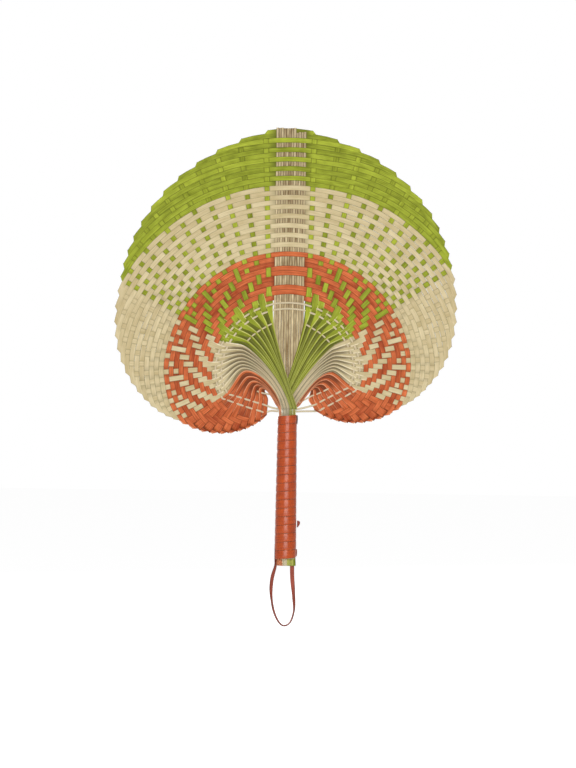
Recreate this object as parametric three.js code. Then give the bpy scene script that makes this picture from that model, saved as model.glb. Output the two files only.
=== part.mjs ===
// A hand fan of dyed palm splints: 36 splints run up from the handle, fold at the rim, cross the blade
// as one row each, fold again and run back down into the handle, on a flat rib of slats.
// Millimetres. +Z points from the handle to the blade's tip, +X to the right of someone who looks at
// the front of the fan from -Y. The origin is the middle of the grip.
import * as THREE from "three";

// Splints: one flat section for all of them, with the gaps that keep neighbours apart
const splintWidth = 3.3;
const splintThickness = 0.25;
const rowGap = 0.3;
const warpGap = 0.35;
const layerGap = 0.35;

// The three dyed bands of the blade, from the tip inwards: how many splints each has, the angle from
// the rib at which its first splint reaches the rim, and the angle from one splint to the next
const bands = [
  { name: "green", count: 12, firstAngle: 8.7, angleStep: 5.65, angleLoss: 0.0865, colour: 0x8f9a2c },
  { name: "natural", count: 14, firstAngle: 64.9, angleStep: 3.65, angleLoss: 0, colour: 0xd2bf92 },
  { name: "orange", count: 10, firstAngle: 116.2, angleStep: 3.85, angleLoss: 0, colour: 0xb85a30 },
];
const twillRows = 8;
const tipRowsBehindRib = 2;

// Blade: radius of the weave's inner edge about the blade's centre, and how the lobes draw in
const weaveInnerRadius = 58.4;
const drawIn = 22;
const drawInStart = 80;
const drawInSpan = 70;
const rightSpread = 0.92;

// Rib: slats side by side up the middle of the blade, drawn together in the handle
const slatCount = 12;
const slatWidth = 1.6;
const slatThickness = 0.5;
const slatGap = 0.3;
const slatFootWidth = 0.45;
const slatFootGap = 0.2;
const ribTopRise = 0.6;
const ribShoulderRise = 68;
const ribClearance = 0.5;
const ribRamp = 1.6;

// Handle: a bound bundle, a little wider at the butt than at the neck
const gripLength = 110.5;
const buttReach = 4.5;
const buttFlareRatio = 1.165;
const legWidth = 2.4;
const legGap = 0.1;
const legDepthGap = 1.0;
const legTuck = 17;
const seatGap = 0.3;

// Neck: where the splints turn from edge-on in the handle to flat in the blade
const neckRise = 29.3;
const neckStraight = 2;
const neckReach = 1.5;
const neckLean = 0.15;
const neckLeanGain = 0.5;
const neckFullness = 0.5;
const neckFullnessGain = 0.44;
const neckDepthHeld = 0.65;
const shingleGap = 1;
const straightAngle = 60;
const archSteepness = 15;
const lobeLean = 16.5;
const curlStart = 114;
const curlReach = 6.5;
const curlTightness = 0.44;

// Binding: one ribbon wound round the handle, with its end left out as a tab
const bindingTurns = 16.4;
const bindingStart = 200;
const bindingThickness = 0.45;
const bindingTurnGap = 0.5;
const bindingClearance = 0.3;
const bindingSideRoom = 0.45;
const bindingRoundness = 3;
const bindingLevel = 1;
const tabWidth = 2.3;
const tabLength = 5.4;
const tabDrop = 28;

// Twine: two cords laid across the foot of the weave
const twineDiameter = 0.9;
const twineInset = 2.9;
const twineSpacing = 4.6;
const twineEnd = 152;

// Hang loop: one flat splint bent into a loop, both ends tucked in at the butt
const loopWidth = 2.8;
const loopThickness = 0.45;
const loopTuck = 13;
const loopTailSpan = 9.6;
const loopOffset = -1.1;
const loopTwist = 90;
const loopTwistFrom = 0.1;
const loopTwistTo = 0.36;
const loopRoute = [
  [-9.3, 11.7], [-8.9, 22.6], [-5.3, 35.9], [-0.3, 44.4], [2.1, 45.4],
  [5.1, 43.8], [8.0, 35.9], [9.0, 23.8], [8.6, 11.7],
];

// Faceting of the solids
const legSteps = 6;
const rowStep = 10;
const rowStepLeast = 2.5;
const foldStep = 1;
const foldMargin = 0.55;
const bindingSteps = 20;
const twineStep = 8;
const twineSides = 6;
const loopSteps = 36;

// Colours of what isn't a woven splint, and how rough the surfaces are
const slatColour = 0xa68f5b;
const bindingColour = 0xc56b4c;
const twineColour = 0xcbb488;
const loopColour = 0xa3745c;
const splintRoughness = 0.7;
const bindingRoughness = 0.5;

// Sizes that follow from those above
const { degToRad, radToDeg, lerp, mapLinear, clamp } = THREE.MathUtils;
const rowPitch = splintWidth + rowGap;
const layerOffset = (splintThickness + layerGap) / 2;
const splintCount = bands.reduce((sum, band) => sum + band.count, 0);
const weaveOuterRadius = weaveInnerRadius + splintCount * rowPitch;
const gatherRadius = weaveInnerRadius - neckReach;
const bindingTop = gripLength / 2;
const bindingBottom = -gripLength / 2;
const buttHeight = bindingBottom - buttReach;
const neckHeight = bindingTop + neckStraight;
const bladeCentre = bindingTop + neckRise;
const slatPitch = slatWidth + slatGap;
const slatFootPitch = slatFootWidth + slatFootGap;
const ribHalf = (slatCount * slatPitch) / 2;
const ribTop = bladeCentre + weaveOuterRadius + ribTopRise;
const ribShoulder = bindingTop + ribShoulderRise;
const ribPass = (slatThickness + splintThickness) / 2 + layerGap;
const ribEdge = ribHalf + ribClearance;
const legPitch = splintThickness + legGap;
const legFoot = bindingTop - legTuck;
const legInnerFace = slatThickness / 2 + legDepthGap;
const legDepth = legInnerFace + legWidth / 2;
const bundleHalf = ((splintCount - 1) * legPitch) / 2;
const bundleWide = bundleHalf + splintThickness / 2;
const bundleDeep = legInnerFace + legWidth;
const bindingPitch = (gripLength + bindingTurnGap) / (bindingTurns + 1);
const bindingWidth = bindingPitch - bindingTurnGap;
const twineDepth = (slatThickness + twineDiameter) / 2 + seatGap;
const loopDepth = (slatThickness + loopThickness) / 2 + seatGap;

// Every splint in order from the tip inwards, with the angle from the rib at which it folds
const splints = bands.flatMap((band) =>
  Array.from({ length: band.count }, (_, i) => ({
    name: `${band.name}_splint_${String(i + 1).padStart(2, "0")}`,
    colour: band.colour,
    angle: band.firstAngle + band.angleStep * i - band.angleLoss * i * i,
  }))
);

const LEFT = -1;
const RIGHT = 1;
const back = new THREE.Vector3(0, 1, 0);
const front = new THREE.Vector3(0, -1, 0);
const up = new THREE.Vector3(0, 0, 1);
const fan = new THREE.Group();

function addPiece(name, geometry, colour, roughness = splintRoughness) {
  const material = new THREE.MeshStandardMaterial({ color: colour, roughness, metalness: 0 });
  const mesh = new THREE.Mesh(geometry, material);
  mesh.name = name;
  fan.add(mesh);
}

// A closed solid skinned over rings of points, all with the same number of points
function skin(rings) {
  const sides = rings[0].length;
  const corners = rings.flat();
  const positions = corners.flatMap((point) => point.toArray());
  const faces = [];
  const last = (rings.length - 1) * sides;
  for (let side = 1; side < sides - 1; side++) {
    faces.push([0, side + 1, side], [last, last + side, last + side + 1]);
  }
  for (let ring = 0; ring < rings.length - 1; ring++) {
    for (let side = 0; side < sides; side++) {
      const a = ring * sides + side;
      const b = ring * sides + ((side + 1) % sides);
      const [c, d] = [b + sides, a + sides];
      const acrossFirst = corners[a].distanceTo(corners[c]) <= corners[b].distanceTo(corners[d]);
      faces.push(...(acrossFirst ? [[a, b, c], [a, c, d]] : [[a, b, d], [b, c, d]]));
    }
  }
  const volume = faces.reduce((sum, face) => {
    const [a, b, c] = face.map((vertex) => new THREE.Vector3().fromArray(positions, vertex * 3));
    return sum + a.dot(b.cross(c));
  }, 0);
  const outward = volume > 0 ? faces : faces.map(([a, b, c]) => [a, c, b]);
  const geometry = new THREE.BufferGeometry();
  geometry.setAttribute("position", new THREE.Float32BufferAttribute(positions, 3));
  geometry.setIndex(outward.flat());
  return geometry;
}

// The four corners of a flat section, from half its width and half its thickness as vectors
function flatSection(centre, halfWide, halfThick) {
  const corner = (wide, thick) =>
    centre.clone().addScaledVector(halfWide, wide).addScaledVector(halfThick, thick);
  return [corner(1, 1), corner(-1, 1), corner(-1, -1), corner(1, -1)];
}

function splintSection(centre, wideAxis, thickAxis, width) {
  const halfWide = wideAxis.clone().multiplyScalar(width / 2);
  const halfThick = thickAxis.clone().multiplyScalar(splintThickness / 2);
  return flatSection(centre, halfWide, halfThick);
}

// How much wider the handle is at a height than at the neck
function flare(height) {
  const low = clamp((bindingTop - height) / (bindingTop - buttHeight), 0, 1);
  return lerp(1, buttFlareRatio, low);
}

// A point of the blade at an angle from the rib, left negative, and a radius from the blade's centre
function bladePoint(angle, radius, depth) {
  const turn = degToRad(angle < 0 ? angle : angle * rightSpread);
  return new THREE.Vector3(radius * Math.sin(turn), depth, bladeCentre + radius * Math.cos(turn));
}

function outwards(point) {
  return new THREE.Vector3(point.x, 0, point.z - bladeCentre).normalize();
}

// How far the lobes draw in towards the handle at an angle from the rib
function drawnIn(angle) {
  const past = Math.max(0, Math.abs(angle) - drawInStart) / drawInSpan;
  return drawIn * past * past;
}

function rowRadius(index) {
  return weaveInnerRadius + (splintCount - index - 0.5) * rowPitch;
}

function rowPoint(index, angle) {
  return bladePoint(angle, rowRadius(index) - drawnIn(angle), -layerOffset);
}

// How far along from one angle to the last splint's an angle is, from 0 to 1
function shareOfLobe(angle, from) {
  return clamp((angle - from) / (splints[splintCount - 1].angle - from), 0, 1);
}

// The angle at which a splint comes out of the neck: beside the rib for the first, and leaning in
// towards the handle for the last
function gatherAngle(angle, side) {
  if (angle > straightAngle) {
    return angle - lobeLean * shareOfLobe(angle, straightAngle) ** 2;
  }
  const besideRib = ribEdge + ribRamp + splintWidth / 2;
  const first = radToDeg(Math.asin(besideRib / gatherRadius)) / (side > 0 ? rightSpread : 1);
  return mapLinear(angle, splints[0].angle, straightAngle, first, straightAngle);
}

// Where one leg of a splint starts, is gathered and folds, and how it leaves the one and reaches the next
function legEnds(index, side) {
  const { angle } = splints[index];
  const order = index / (splintCount - 1);
  const curl = shareOfLobe(angle, curlStart) ** 2;
  const fold = rowPoint(index, side * angle).setY(layerOffset);
  const radius = gatherRadius - drawnIn(angle) - curlReach * curl;
  const gather = bladePoint(side * gatherAngle(angle, side), radius, layerOffset);
  const heading = fold.clone().sub(gather).normalize();
  const start = new THREE.Vector3(-side * (bundleHalf - index * legPitch), side * legDepth, neckHeight);
  const rise = new THREE.Vector3(side * (neckLean + neckLeanGain * order), 0, 1).normalize();
  const pull = start.distanceTo(gather) * (neckFullness + neckFullnessGain * order - curlTightness * curl);
  const bend = clamp((angle - straightAngle) / (curlStart - straightAngle), 0, 1) - curl;
  const arrival = heading.clone().applyAxisAngle(back, -side * degToRad(archSteepness * bend));
  const leave = start.clone().addScaledVector(rise, pull);
  const arrive = gather.clone().addScaledVector(arrival, -pull).setY(side * legDepth * neckDepthHeld);
  return { start, leave, arrive, gather, fold, heading };
}

// One leg of a splint: a curve from the handle to where it is gathered, then straight to its fold.
// Past the last splint that isn't curled, the curves fill in evenly towards the innermost one.
function legCourse(index, side) {
  const { start, leave, arrive, gather, fold, heading } = legEnds(index, side);
  const hinge = splints.findLastIndex(({ angle }) => angle < curlStart);
  if (index > hinge) {
    const share = (index - hinge) / (splintCount - 1 - hinge);
    const first = legEnds(hinge, side);
    const last = legEnds(splintCount - 1, side);
    leave.lerpVectors(first.leave, last.leave, share);
    arrive.lerpVectors(first.arrive, last.arrive, share);
    gather.lerpVectors(first.gather, last.gather, share);
    heading.subVectors(fold, gather).normalize();
  }
  return { start, curve: new THREE.CubicBezierCurve3(start, leave, arrive, gather), gather, fold, heading };
}

const courses = {
  [LEFT]: splints.map((_, index) => legCourse(index, LEFT)),
  [RIGHT]: splints.map((_, index) => legCourse(index, RIGHT)),
};

// The direction square to a heading in the blade's plane, towards the rib
function ribwards(heading, side) {
  return new THREE.Vector3(-side * heading.z, 0, side * heading.x).normalize();
}

// The room from a leg to its nearest neighbour, at like points of their courses
function roomBeside(index, side, heading, pointOf) {
  const here = pointOf(courses[side][index]);
  const neighbours = [index - 1, index + 1].filter((other) => other >= 0 && other < splintCount);
  return Math.min(
    ...neighbours.map((other) => {
      const gap = pointOf(courses[side][other]).clone().sub(here);
      return gap.addScaledVector(heading, -gap.dot(heading)).length();
    })
  );
}

// Sections of a leg from its foot in the handle to the inner edge of the weave
function legSections(index, side) {
  const { start, curve, heading } = courses[side][index];
  const room = roomBeside(index, side, heading, (course) => course.gather);
  const gatherWidth = Math.min(splintWidth, room - warpGap);
  const ribAxis = ribwards(up, side);
  const footScale = flare(legFoot);
  const foot = new THREE.Vector3(start.x * footScale, start.y * footScale, legFoot);
  const deepAxis = back.clone().multiplyScalar(side);
  const sections = [splintSection(foot, deepAxis, ribAxis.multiplyScalar(-side), legWidth)];
  for (let step = 0; step <= legSteps; step++) {
    const share = step / legSteps;
    const tangent = curve.getTangent(share);
    const inward = ribwards(tangent, side);
    const spacing = roomBeside(index, side, tangent, (course) => course.curve.getPoint(share));
    const edgeOn = Math.min(1, (legPitch + shingleGap * Math.sin(Math.PI * share)) / spacing);
    const faceOn = Math.sqrt(1 - edgeOn * edgeOn);
    const wideAxis = inward.clone().multiplyScalar(faceOn).addScaledVector(back, side * edgeOn);
    const thickAxis = back.clone().multiplyScalar(faceOn).addScaledVector(inward, -side * edgeOn);
    const width = lerp(legWidth, gatherWidth, share);
    sections.push(splintSection(curve.getPoint(share), wideAxis, thickAxis, width));
  }
  return sections;
}

// Sections round a splint's fold at the rim, from the leg behind to the row in front: the crease runs
// from where the two outer edges meet to where the two inner edges meet
function foldSections(index, side) {
  const { fold, heading } = courses[side][index];
  const { angle } = splints[index];
  const rowStart = rowPoint(index, side * angle);
  const along = rowPoint(index, side * (angle - foldStep)).sub(rowStart).normalize();
  const offset = outwards(fold).sub(ribwards(heading, side)).multiplyScalar(splintWidth / 2);
  const share = (offset.x * along.z - offset.z * along.x) / (heading.x * along.z - heading.z * along.x);
  const crease = ribwards(heading, side).multiplyScalar(splintWidth / 2).addScaledVector(heading, share);
  const bulge = new THREE.Vector3(-crease.z, 0, crease.x).normalize();
  bulge.multiplyScalar(Math.sign(bulge.dot(heading)));
  const half = splintThickness / 2;
  const middle = fold.clone().setY(0).addScaledVector(bulge, layerOffset);
  return [
    flatSection(fold, crease, back.clone().multiplyScalar(half)),
    flatSection(middle, crease, bulge.multiplyScalar(half)),
    flatSection(rowStart, crease, front.clone().multiplyScalar(half)),
  ];
}

function rowPassesOverRib(index) {
  const twillRow = index - (splintCount - twillRows);
  if (twillRow >= 0) {
    return (twillRow + 1) % 4 >= 2;
  }
  return index >= tipRowsBehindRib && index % 2 === 0;
}

// Sections of a row between its two folds, bent over or behind the rib
function rowSections(index) {
  const rowSection = (point) => splintSection(point, outwards(point), front, splintWidth);
  const ribAngle = (x) => radToDeg(Math.asin(x / rowRadius(index))) / (x > 0 ? rightSpread : 1);
  const ribDepth = rowPassesOverRib(index) ? -ribPass : ribPass;
  const atRib = [-1, 1].map((side) => rowSection(rowPoint(index, ribAngle(side * ribEdge)).setY(ribDepth)));
  const halves = [LEFT, RIGHT].map((side) => {
    const near = Math.abs(ribAngle(side * (ribEdge + ribRamp)));
    const far = splints[index].angle - radToDeg((foldMargin * splintWidth) / rowRadius(index));
    const sections = [rowSection(rowPoint(index, side * near))];
    for (let angle = rowStep; angle < far; angle += rowStep) {
      if (angle > near + rowStepLeast) {
        sections.push(rowSection(rowPoint(index, side * angle)));
      }
    }
    return sections;
  });
  return [...halves[0].reverse(), ...atRib, ...halves[1]];
}

// Woven splints: up the left, across as a row, down the right
splints.forEach(({ name, colour }, index) => {
  const left = [...legSections(index, LEFT), ...foldSections(index, LEFT)];
  const right = [...legSections(index, RIGHT), ...foldSections(index, RIGHT)].reverse();
  addPiece(name, skin([...left, ...rowSections(index), ...right]), colour);
});

// Rib slats: full width in the blade, shaved narrow from the shoulder down into the handle
for (let slat = 0; slat < slatCount; slat++) {
  const place = slat - (slatCount - 1) / 2;
  const section = (height, pitch, width) =>
    flatSection(
      new THREE.Vector3(place * pitch, 0, height),
      new THREE.Vector3(width / 2, 0, 0),
      new THREE.Vector3(0, slatThickness / 2, 0)
    );
  const sections = [
    section(buttHeight, slatFootPitch, slatFootWidth),
    section(neckHeight, slatFootPitch, slatFootWidth),
    section(ribShoulder, slatPitch, slatWidth),
    section(ribTop, slatPitch, slatWidth),
  ];
  addPiece(`rib_slat_${String(slat + 1).padStart(2, "0")}`, skin(sections), slatColour);
}

// Splint tails: the lower ends of the legs, bound solid in the handle, one bundle for each colour
// in front of the rib and one behind it
let bandStart = 0;
for (const band of bands) {
  const bandEnd = bandStart + band.count - 1;
  for (const side of [LEFT, RIGHT]) {
    const edges = [bandStart - 0.5, bandEnd + 0.5].map((index) => bundleHalf - index * legPitch);
    const centre = (edges[0] + edges[1]) / 2;
    const halfWide = (edges[0] - edges[1] - legGap) / 2;
    const sections = [legFoot - seatGap, buttHeight].map((height) => {
      const scale = flare(height);
      return flatSection(
        new THREE.Vector3(-side * centre * scale, side * legDepth * scale, height),
        new THREE.Vector3(halfWide * scale, 0, 0),
        new THREE.Vector3(0, (legWidth / 2) * scale, 0)
      );
    });
    addPiece(`${band.name}_tails_${side === LEFT ? "front" : "back"}`, skin(sections), band.colour);
  }
  bandStart = bandEnd + 1;
}

// Grip binding: a ribbon wound round the bundle, on a rounded outline that clears its corners
const wrapWide = bundleWide + bindingSideRoom;
const cornerShare = (bundleWide / wrapWide) ** bindingRoundness;
const wrapDeep = bundleDeep / (1 - cornerShare) ** (1 / bindingRoundness);

function wrapRadius(turn, height, lift) {
  const wide = wrapWide * flare(height) + bindingClearance + lift;
  const deep = wrapDeep * flare(height) + bindingClearance + lift;
  const across = Math.abs(Math.cos(turn) / wide) ** bindingRoundness;
  const through = Math.abs(Math.sin(turn) / deep) ** bindingRoundness;
  return (across + through) ** (-1 / bindingRoundness);
}

const windings = [];
for (let step = 0; step <= bindingTurns * bindingSteps; step++) {
  const turn = degToRad(bindingStart + (360 * step) / bindingSteps);
  const rise = bindingBottom + bindingWidth / 2 + (bindingPitch * step) / bindingSteps;
  const height = rise - bindingLevel * Math.cos(turn);
  const corner = (lift, end) => {
    const z = height + (end * bindingWidth) / 2;
    const radius = wrapRadius(turn, z, lift);
    return new THREE.Vector3(radius * Math.cos(turn), radius * Math.sin(turn), z);
  };
  windings.push([corner(bindingThickness, 1), corner(0, 1), corner(0, -1), corner(bindingThickness, -1)]);
}
addPiece("grip_binding", skin(windings), bindingColour, bindingRoughness);

// The least gap between one turn of the binding and the next, over the corners of its sections
let leastGap = Infinity;
windings.forEach((section, step) => {
  for (const other of windings.slice(step + bindingSteps / 2, step + 2 * bindingSteps)) {
    for (const a of section) {
      for (const b of other) {
        leastGap = Math.min(leastGap, a.distanceTo(b));
      }
    }
  }
});
console.log(`grip_binding: least gap to itself ${leastGap.toFixed(2)} mm`);

// Binding tab: the ribbon's end, which stands out at the right of the grip
const tabRoot = wrapRadius(0, -tabDrop, bindingThickness) + seatGap;
const tabSections = [tabRoot, tabRoot + tabWidth].map((x) =>
  flatSection(
    new THREE.Vector3(x, 0, -tabDrop),
    new THREE.Vector3(0, 0, tabLength / 2),
    new THREE.Vector3(0, bindingThickness / 2, 0)
  )
);
addPiece("binding_tab", skin(tabSections), loopColour);

// Twine: round cords in front of the splints where they enter the weave
class TwineRoute extends THREE.Curve {
  constructor(inset) {
    super();
    this.inset = inset;
  }

  getPoint(share) {
    const angle = lerp(-twineEnd, twineEnd, share);
    return bladePoint(angle, weaveInnerRadius - this.inset - drawnIn(angle), -twineDepth);
  }
}

const twineSection = new THREE.Shape(
  Array.from({ length: twineSides }, (_, side) => {
    const turn = (2 * Math.PI * side) / twineSides;
    return new THREE.Vector2(Math.cos(turn), Math.sin(turn)).multiplyScalar(twineDiameter / 2);
  })
);
[twineInset, twineInset + twineSpacing].forEach((inset, index) => {
  const steps = Math.round((2 * twineEnd) / twineStep);
  const tube = new THREE.ExtrudeGeometry(twineSection, { steps, extrudePath: new TwineRoute(inset) });
  addPiece(index === 0 ? "twine_outer" : "twine_inner", tube, twineColour);
});

// Hang loop: flat to the front where it enters the butt, turned edge-on round the bend
const loopTail = (end, depth) =>
  new THREE.Vector3(loopOffset + (end * loopTailSpan) / 2, -loopDepth, buttHeight + depth);
const loopCurve = new THREE.CatmullRomCurve3(
  [
    loopTail(-1, loopTuck),
    loopTail(-1, loopTuck / 2),
    loopTail(-1, 0),
    ...loopRoute.map(([x, drop]) => new THREE.Vector3(loopOffset + x, -loopDepth, buttHeight - drop)),
    loopTail(1, 0),
    loopTail(1, loopTuck / 2),
    loopTail(1, loopTuck),
  ],
  false,
  "centripetal"
);
const loopSections = [];
for (let step = 0; step <= loopSteps; step++) {
  const share = step / loopSteps;
  const tangent = loopCurve.getTangentAt(share);
  const inPlane = new THREE.Vector3(-tangent.z, 0, tangent.x).normalize();
  const fromEnd = THREE.MathUtils.smoothstep(Math.min(share, 1 - share), loopTwistFrom, loopTwistTo);
  const twist = degToRad(loopTwist * fromEnd);
  const wideAxis = inPlane.clone().multiplyScalar(Math.cos(twist)).addScaledVector(back, Math.sin(twist));
  const thickAxis = back.clone().multiplyScalar(Math.cos(twist)).addScaledVector(inPlane, -Math.sin(twist));
  loopSections.push(
    flatSection(
      loopCurve.getPointAt(share),
      wideAxis.multiplyScalar(loopWidth / 2),
      thickAxis.multiplyScalar(loopThickness / 2)
    )
  );
}
addPiece("hang_loop", skin(loopSections), loopColour);

export default fan;
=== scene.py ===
import math
import random

import bmesh
import bpy
from bpy.props import FloatProperty, FloatVectorProperty, PointerProperty
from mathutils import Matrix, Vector, noise


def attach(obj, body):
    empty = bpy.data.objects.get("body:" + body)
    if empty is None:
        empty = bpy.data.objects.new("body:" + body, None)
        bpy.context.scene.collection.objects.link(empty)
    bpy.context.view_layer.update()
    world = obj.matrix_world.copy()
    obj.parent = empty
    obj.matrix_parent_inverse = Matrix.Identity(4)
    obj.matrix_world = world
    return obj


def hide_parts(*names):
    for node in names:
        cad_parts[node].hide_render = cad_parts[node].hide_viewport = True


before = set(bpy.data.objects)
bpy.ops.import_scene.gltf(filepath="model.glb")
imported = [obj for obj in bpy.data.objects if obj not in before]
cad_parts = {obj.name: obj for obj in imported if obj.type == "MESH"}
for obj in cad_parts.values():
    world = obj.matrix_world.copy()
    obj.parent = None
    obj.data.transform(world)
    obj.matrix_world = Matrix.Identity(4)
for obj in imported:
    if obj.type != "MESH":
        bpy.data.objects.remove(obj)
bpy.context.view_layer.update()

bl_info = {
    "name": "Woven palm hand fan",
    "version": (1, 0, 0),
    "blender": (4, 5, 0),
    "location": "View3D > Sidebar > Palm fan",
    "description": "Weaves a palm splint hand fan with a bound handle over its packed frame",
    "category": "Object",
}

# Lengths are in metres and angles in degrees
MM = 0.001
BODY = "root"
LEFT = -1
RIGHT = 1
FRONT = Vector((0.0, -1.0, 0.0))
BACK = Vector((0.0, 1.0, 0.0))
UP = Vector((0.0, 0.0, 1.0))

# Bands from the tip inwards: name, splints, first fold angle, angle step and its loss with each splint
BANDS = (
    ("green", 12, 6.0, 6.6, 0.148),
    ("natural", 14, 64.9, 3.65, 0.0),
    ("orange", 10, 116.2, 3.85, 0.0),
)
# How far the folds of a band lie past an even spread, for each place to its first splint and to its last
RIM_SWELL = {"green": 0.0, "natural": 0.085, "orange": 0.06}
TWILL_ROWS = 8
TWILL_REPEAT = 4
TIP_ROWS_BEHIND_RIB = 2

# Blade outline
ROW_PITCH = 3.6 * MM
WEAVE_INNER_RADIUS = 58.4 * MM
DRAW_IN = 22 * MM
DRAW_IN_START = 80
DRAW_IN_SPAN = 70
RIGHT_SPREAD = 0.92
# Outer rows lie farther out at the sides: most of it, first radius and span, first angle and span
RIM_GROWTH = {LEFT: (1.8 * MM, 90 * MM, 30 * MM, 50, 30), RIGHT: (2.8 * MM, 112 * MM, 33 * MM, 8, 30)}

# Handle and neck
BINDING_TOP = 55.25 * MM
BINDING_BOTTOM = -55.25 * MM
BUTT_HEIGHT = -59.75 * MM
BUTT_FLARE = 1.165
NECK_HEIGHT = 60.5 * MM
BLADE_CENTRE = 84.55 * MM
LEG_WIDTH = 2.4 * MM
LEG_PITCH = 0.35 * MM
LEG_DEPTH = 2.45 * MM
LEG_FOOT = 38.25 * MM
LEG_STEPS = 32
LEG_HALVINGS = 24
CROSSING_HALVINGS = 26
TANGENT_STEP = 0.01
NECK_REACH = 1.5 * MM
NECK_LEAN = 0.36
NECK_LEAN_GAIN = {LEFT: -0.28, RIGHT: 0.4}
LOBE_LEG_LEAN = {LEFT: 0.95, RIGHT: 1.3}
RIDGE_SHARE = 0.5
# Share of a leg's course, and span, at which it crosses to the front and at which it comes level again
NECK_CROSS = (0.0, 0.16)
NECK_LEVEL = (0.4, 0.6)
NECK_FRONT = {LEFT: -2.45 * MM, RIGHT: -1.45 * MM}
RIDGE_PULL = 0.8
STRAIGHT_ANGLE = 60
LOBE_LEAN = 16.5
INNER_GATHER = {LEFT: (-16.6 * MM, 66.0 * MM), RIGHT: (18.2 * MM, 66.0 * MM)}
# Ridge where the legs turn from the neck to the weave: splint, angle from the rib and radius
RIDGE = ((0, 17.6, 41.3 * MM), (11, 54.4, 38.2 * MM), (12, 57.5, 38.0 * MM), (25, 83.0, 33.2 * MM),
         (26, 85.5, 31.1 * MM), (35, 121.0, 21.2 * MM))
# Room that a leg covers in the neck and beyond the ridge, for those in front and those behind
NECK_OVERLAP = ((0.92, 1.6), (1.3, 1.3))
OVERLAP_CHANGE = (RIDGE_SHARE, 0.25)
LOBE_OVERLAP = 1.45
NECK_FACE_ON = 0.72
MOUTH_STEPS = 3
# Share of the neck's width at which the legs of each colour lie, from its far edge to that on their side
NECK_SHARES = {"green": (0.0, 0.37), "natural": (0.4, 0.85), "orange": (0.87, 1.0)}
NECK_LEG_WIDTH = 1.7 * MM
LEG_WIDEST = 3.75 * MM
LEG_WIDEST_AT_NECK = {"green": 6.2 * MM, "natural": 5.2 * MM}
LEG_FILL_AT_NECK = {"green": 1.75, "natural": 1.35}
LEG_NECK_REACH = 10 * MM
LEG_BEHIND_FILL = 1.3
LOBE_LEG_FILL = 1.12
LEG_TAPER = 8
LOBE_LEG_WIDEST = 6.6 * MM
BESIDE_RIB = 15.0 * MM
# Painted shade on each splint of a group where it lies deep among its neighbours, in the neck and farther up
# at the ridge
SUNK_IN_NECK = (0.0, 0.05, 0.6, 0.1, 0.0)
SUNK_AT_RIDGE = (0.0, 0.8)
SUNK_TO_RIDGE = (0.2, 0.3)
SUNK_FADE = (0.7, 0.25)
# Painted shade where a splint passes under another, where the twine pushes a leg back, and the share of it
# that the lobes' legs keep
SUNK_UNDER = {"green": 0.6, "natural": 0.36, "orange": 0.5}
SUNK_BY_TWINE = 0.4
SUNK_LOBE_LEGS = 0.55
SUNK_DEPTH = 0.5 * MM
NECK_SPREAD = 1.16
TWINE_PUSH = 0.32 * MM
TWINE_PUSH_REACH = 1.7 * MM
ROW_WANDER = 0.5 * MM
ROW_WANDER_SPAN = 10.0
ROW_WANDER_STEP = 0.16
ROW_WANDER_START = 2.5

# Weave
ROW_STEP = 3.0
FLAT_HALF = 1.25 * MM
FLAT_SHARE = 0.36
FOLD_ROOM = 0.62
FOLD_STEPS = 4
DIP_RAMP = 1.7 * MM
DIP_LEVEL = -0.75
DIP_ROOM = 0.4
RIM_DIP = 1.3 * MM
RIM_DIP_SPAN = 7.0
PALE_EDGE_REACH = 6 * MM
# How much of the pale front edges, and of the painted shade on the back edges, is left where a leg reaches
# the weave, and how strong both are at the folds of the lobes, where the pale tips are partly cut edge and
# partly painted glint
PALE_AT_GATHER = {"green": 0.3, "natural": 0.9, "orange": 0.5}
PALE_FADE = (RIDGE_SHARE, 0.35)
PALE_AT_FOLD = 1.6
PALE_FOLD_REACH = 5.0 * MM
# Width of the lines along the splints' edges, and how deep their painted shade and dirt is
LEAF_EDGES = {"green": (0.13, 0.6), "natural": (0.11, 0.48), "orange": (0.13, 0.68)}

# Rib
SLAT_COUNT = 12
SLAT_PITCH = 1.9 * MM
SLAT_WIDTH = 1.91 * MM
SLAT_FOOT_PITCH = 0.65 * MM
SLAT_FOOT_WIDTH = 0.66 * MM
SLAT_THICKNESS = 0.5 * MM
SLAT_STEP = 9 * MM
SLAT_WANDER = 0.09 * MM
SLAT_UNEVENNESS = 0.08
# Where the slats' sway and width are taken from noise: steps from slat to slat and up a metre, and a layer
SLAT_SWAY_NOISE = (7.1, 60.0, 0.0)
SLAT_WIDTH_NOISE = (3.7, 90.0, 5.0)
SLAT_PROFILE = ((-1, 0.9), (-1, -0.1), (-0.72, -0.78), (0, -1), (0.72, -0.78), (1, -0.1), (1, 0.9))
# Painted shade across a slat's profile, darkest at its sides where the slats meet, and how much darker the
# slat is at its top
SLAT_SUNKS = (0.85, 0.85, 0.15, 0.0, 0.15, 0.85, 0.85)
SLAT_SUNK_HIGH = 0.2
SLAT_SPAN = 0.45
SLAT_TONES = (0.85, 0.5, 0.95, 0.25, 0.6, 0.1, 0.35, 0.9, 0.2, 0.7, 0.4, 0.55)
SLAT_TOP_SPREAD = 0.5 * MM
SHORT_SLATS = 4
SHORT_SLAT_DROP = 4.2 * MM
SHORT_SLAT_LEAST = 0.55
RIB_TOP = 273.1 * MM
RIB_SHOULDER = 90 * MM
RIB_NARROW = 68 * MM
SLAT_NARROW_PITCH = 0.3 * MM
SLAT_NARROW_WIDTH = 0.31 * MM
RIB_EDGE = 11.9 * MM
RIB_CLEARANCE = 0.06 * MM

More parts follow.
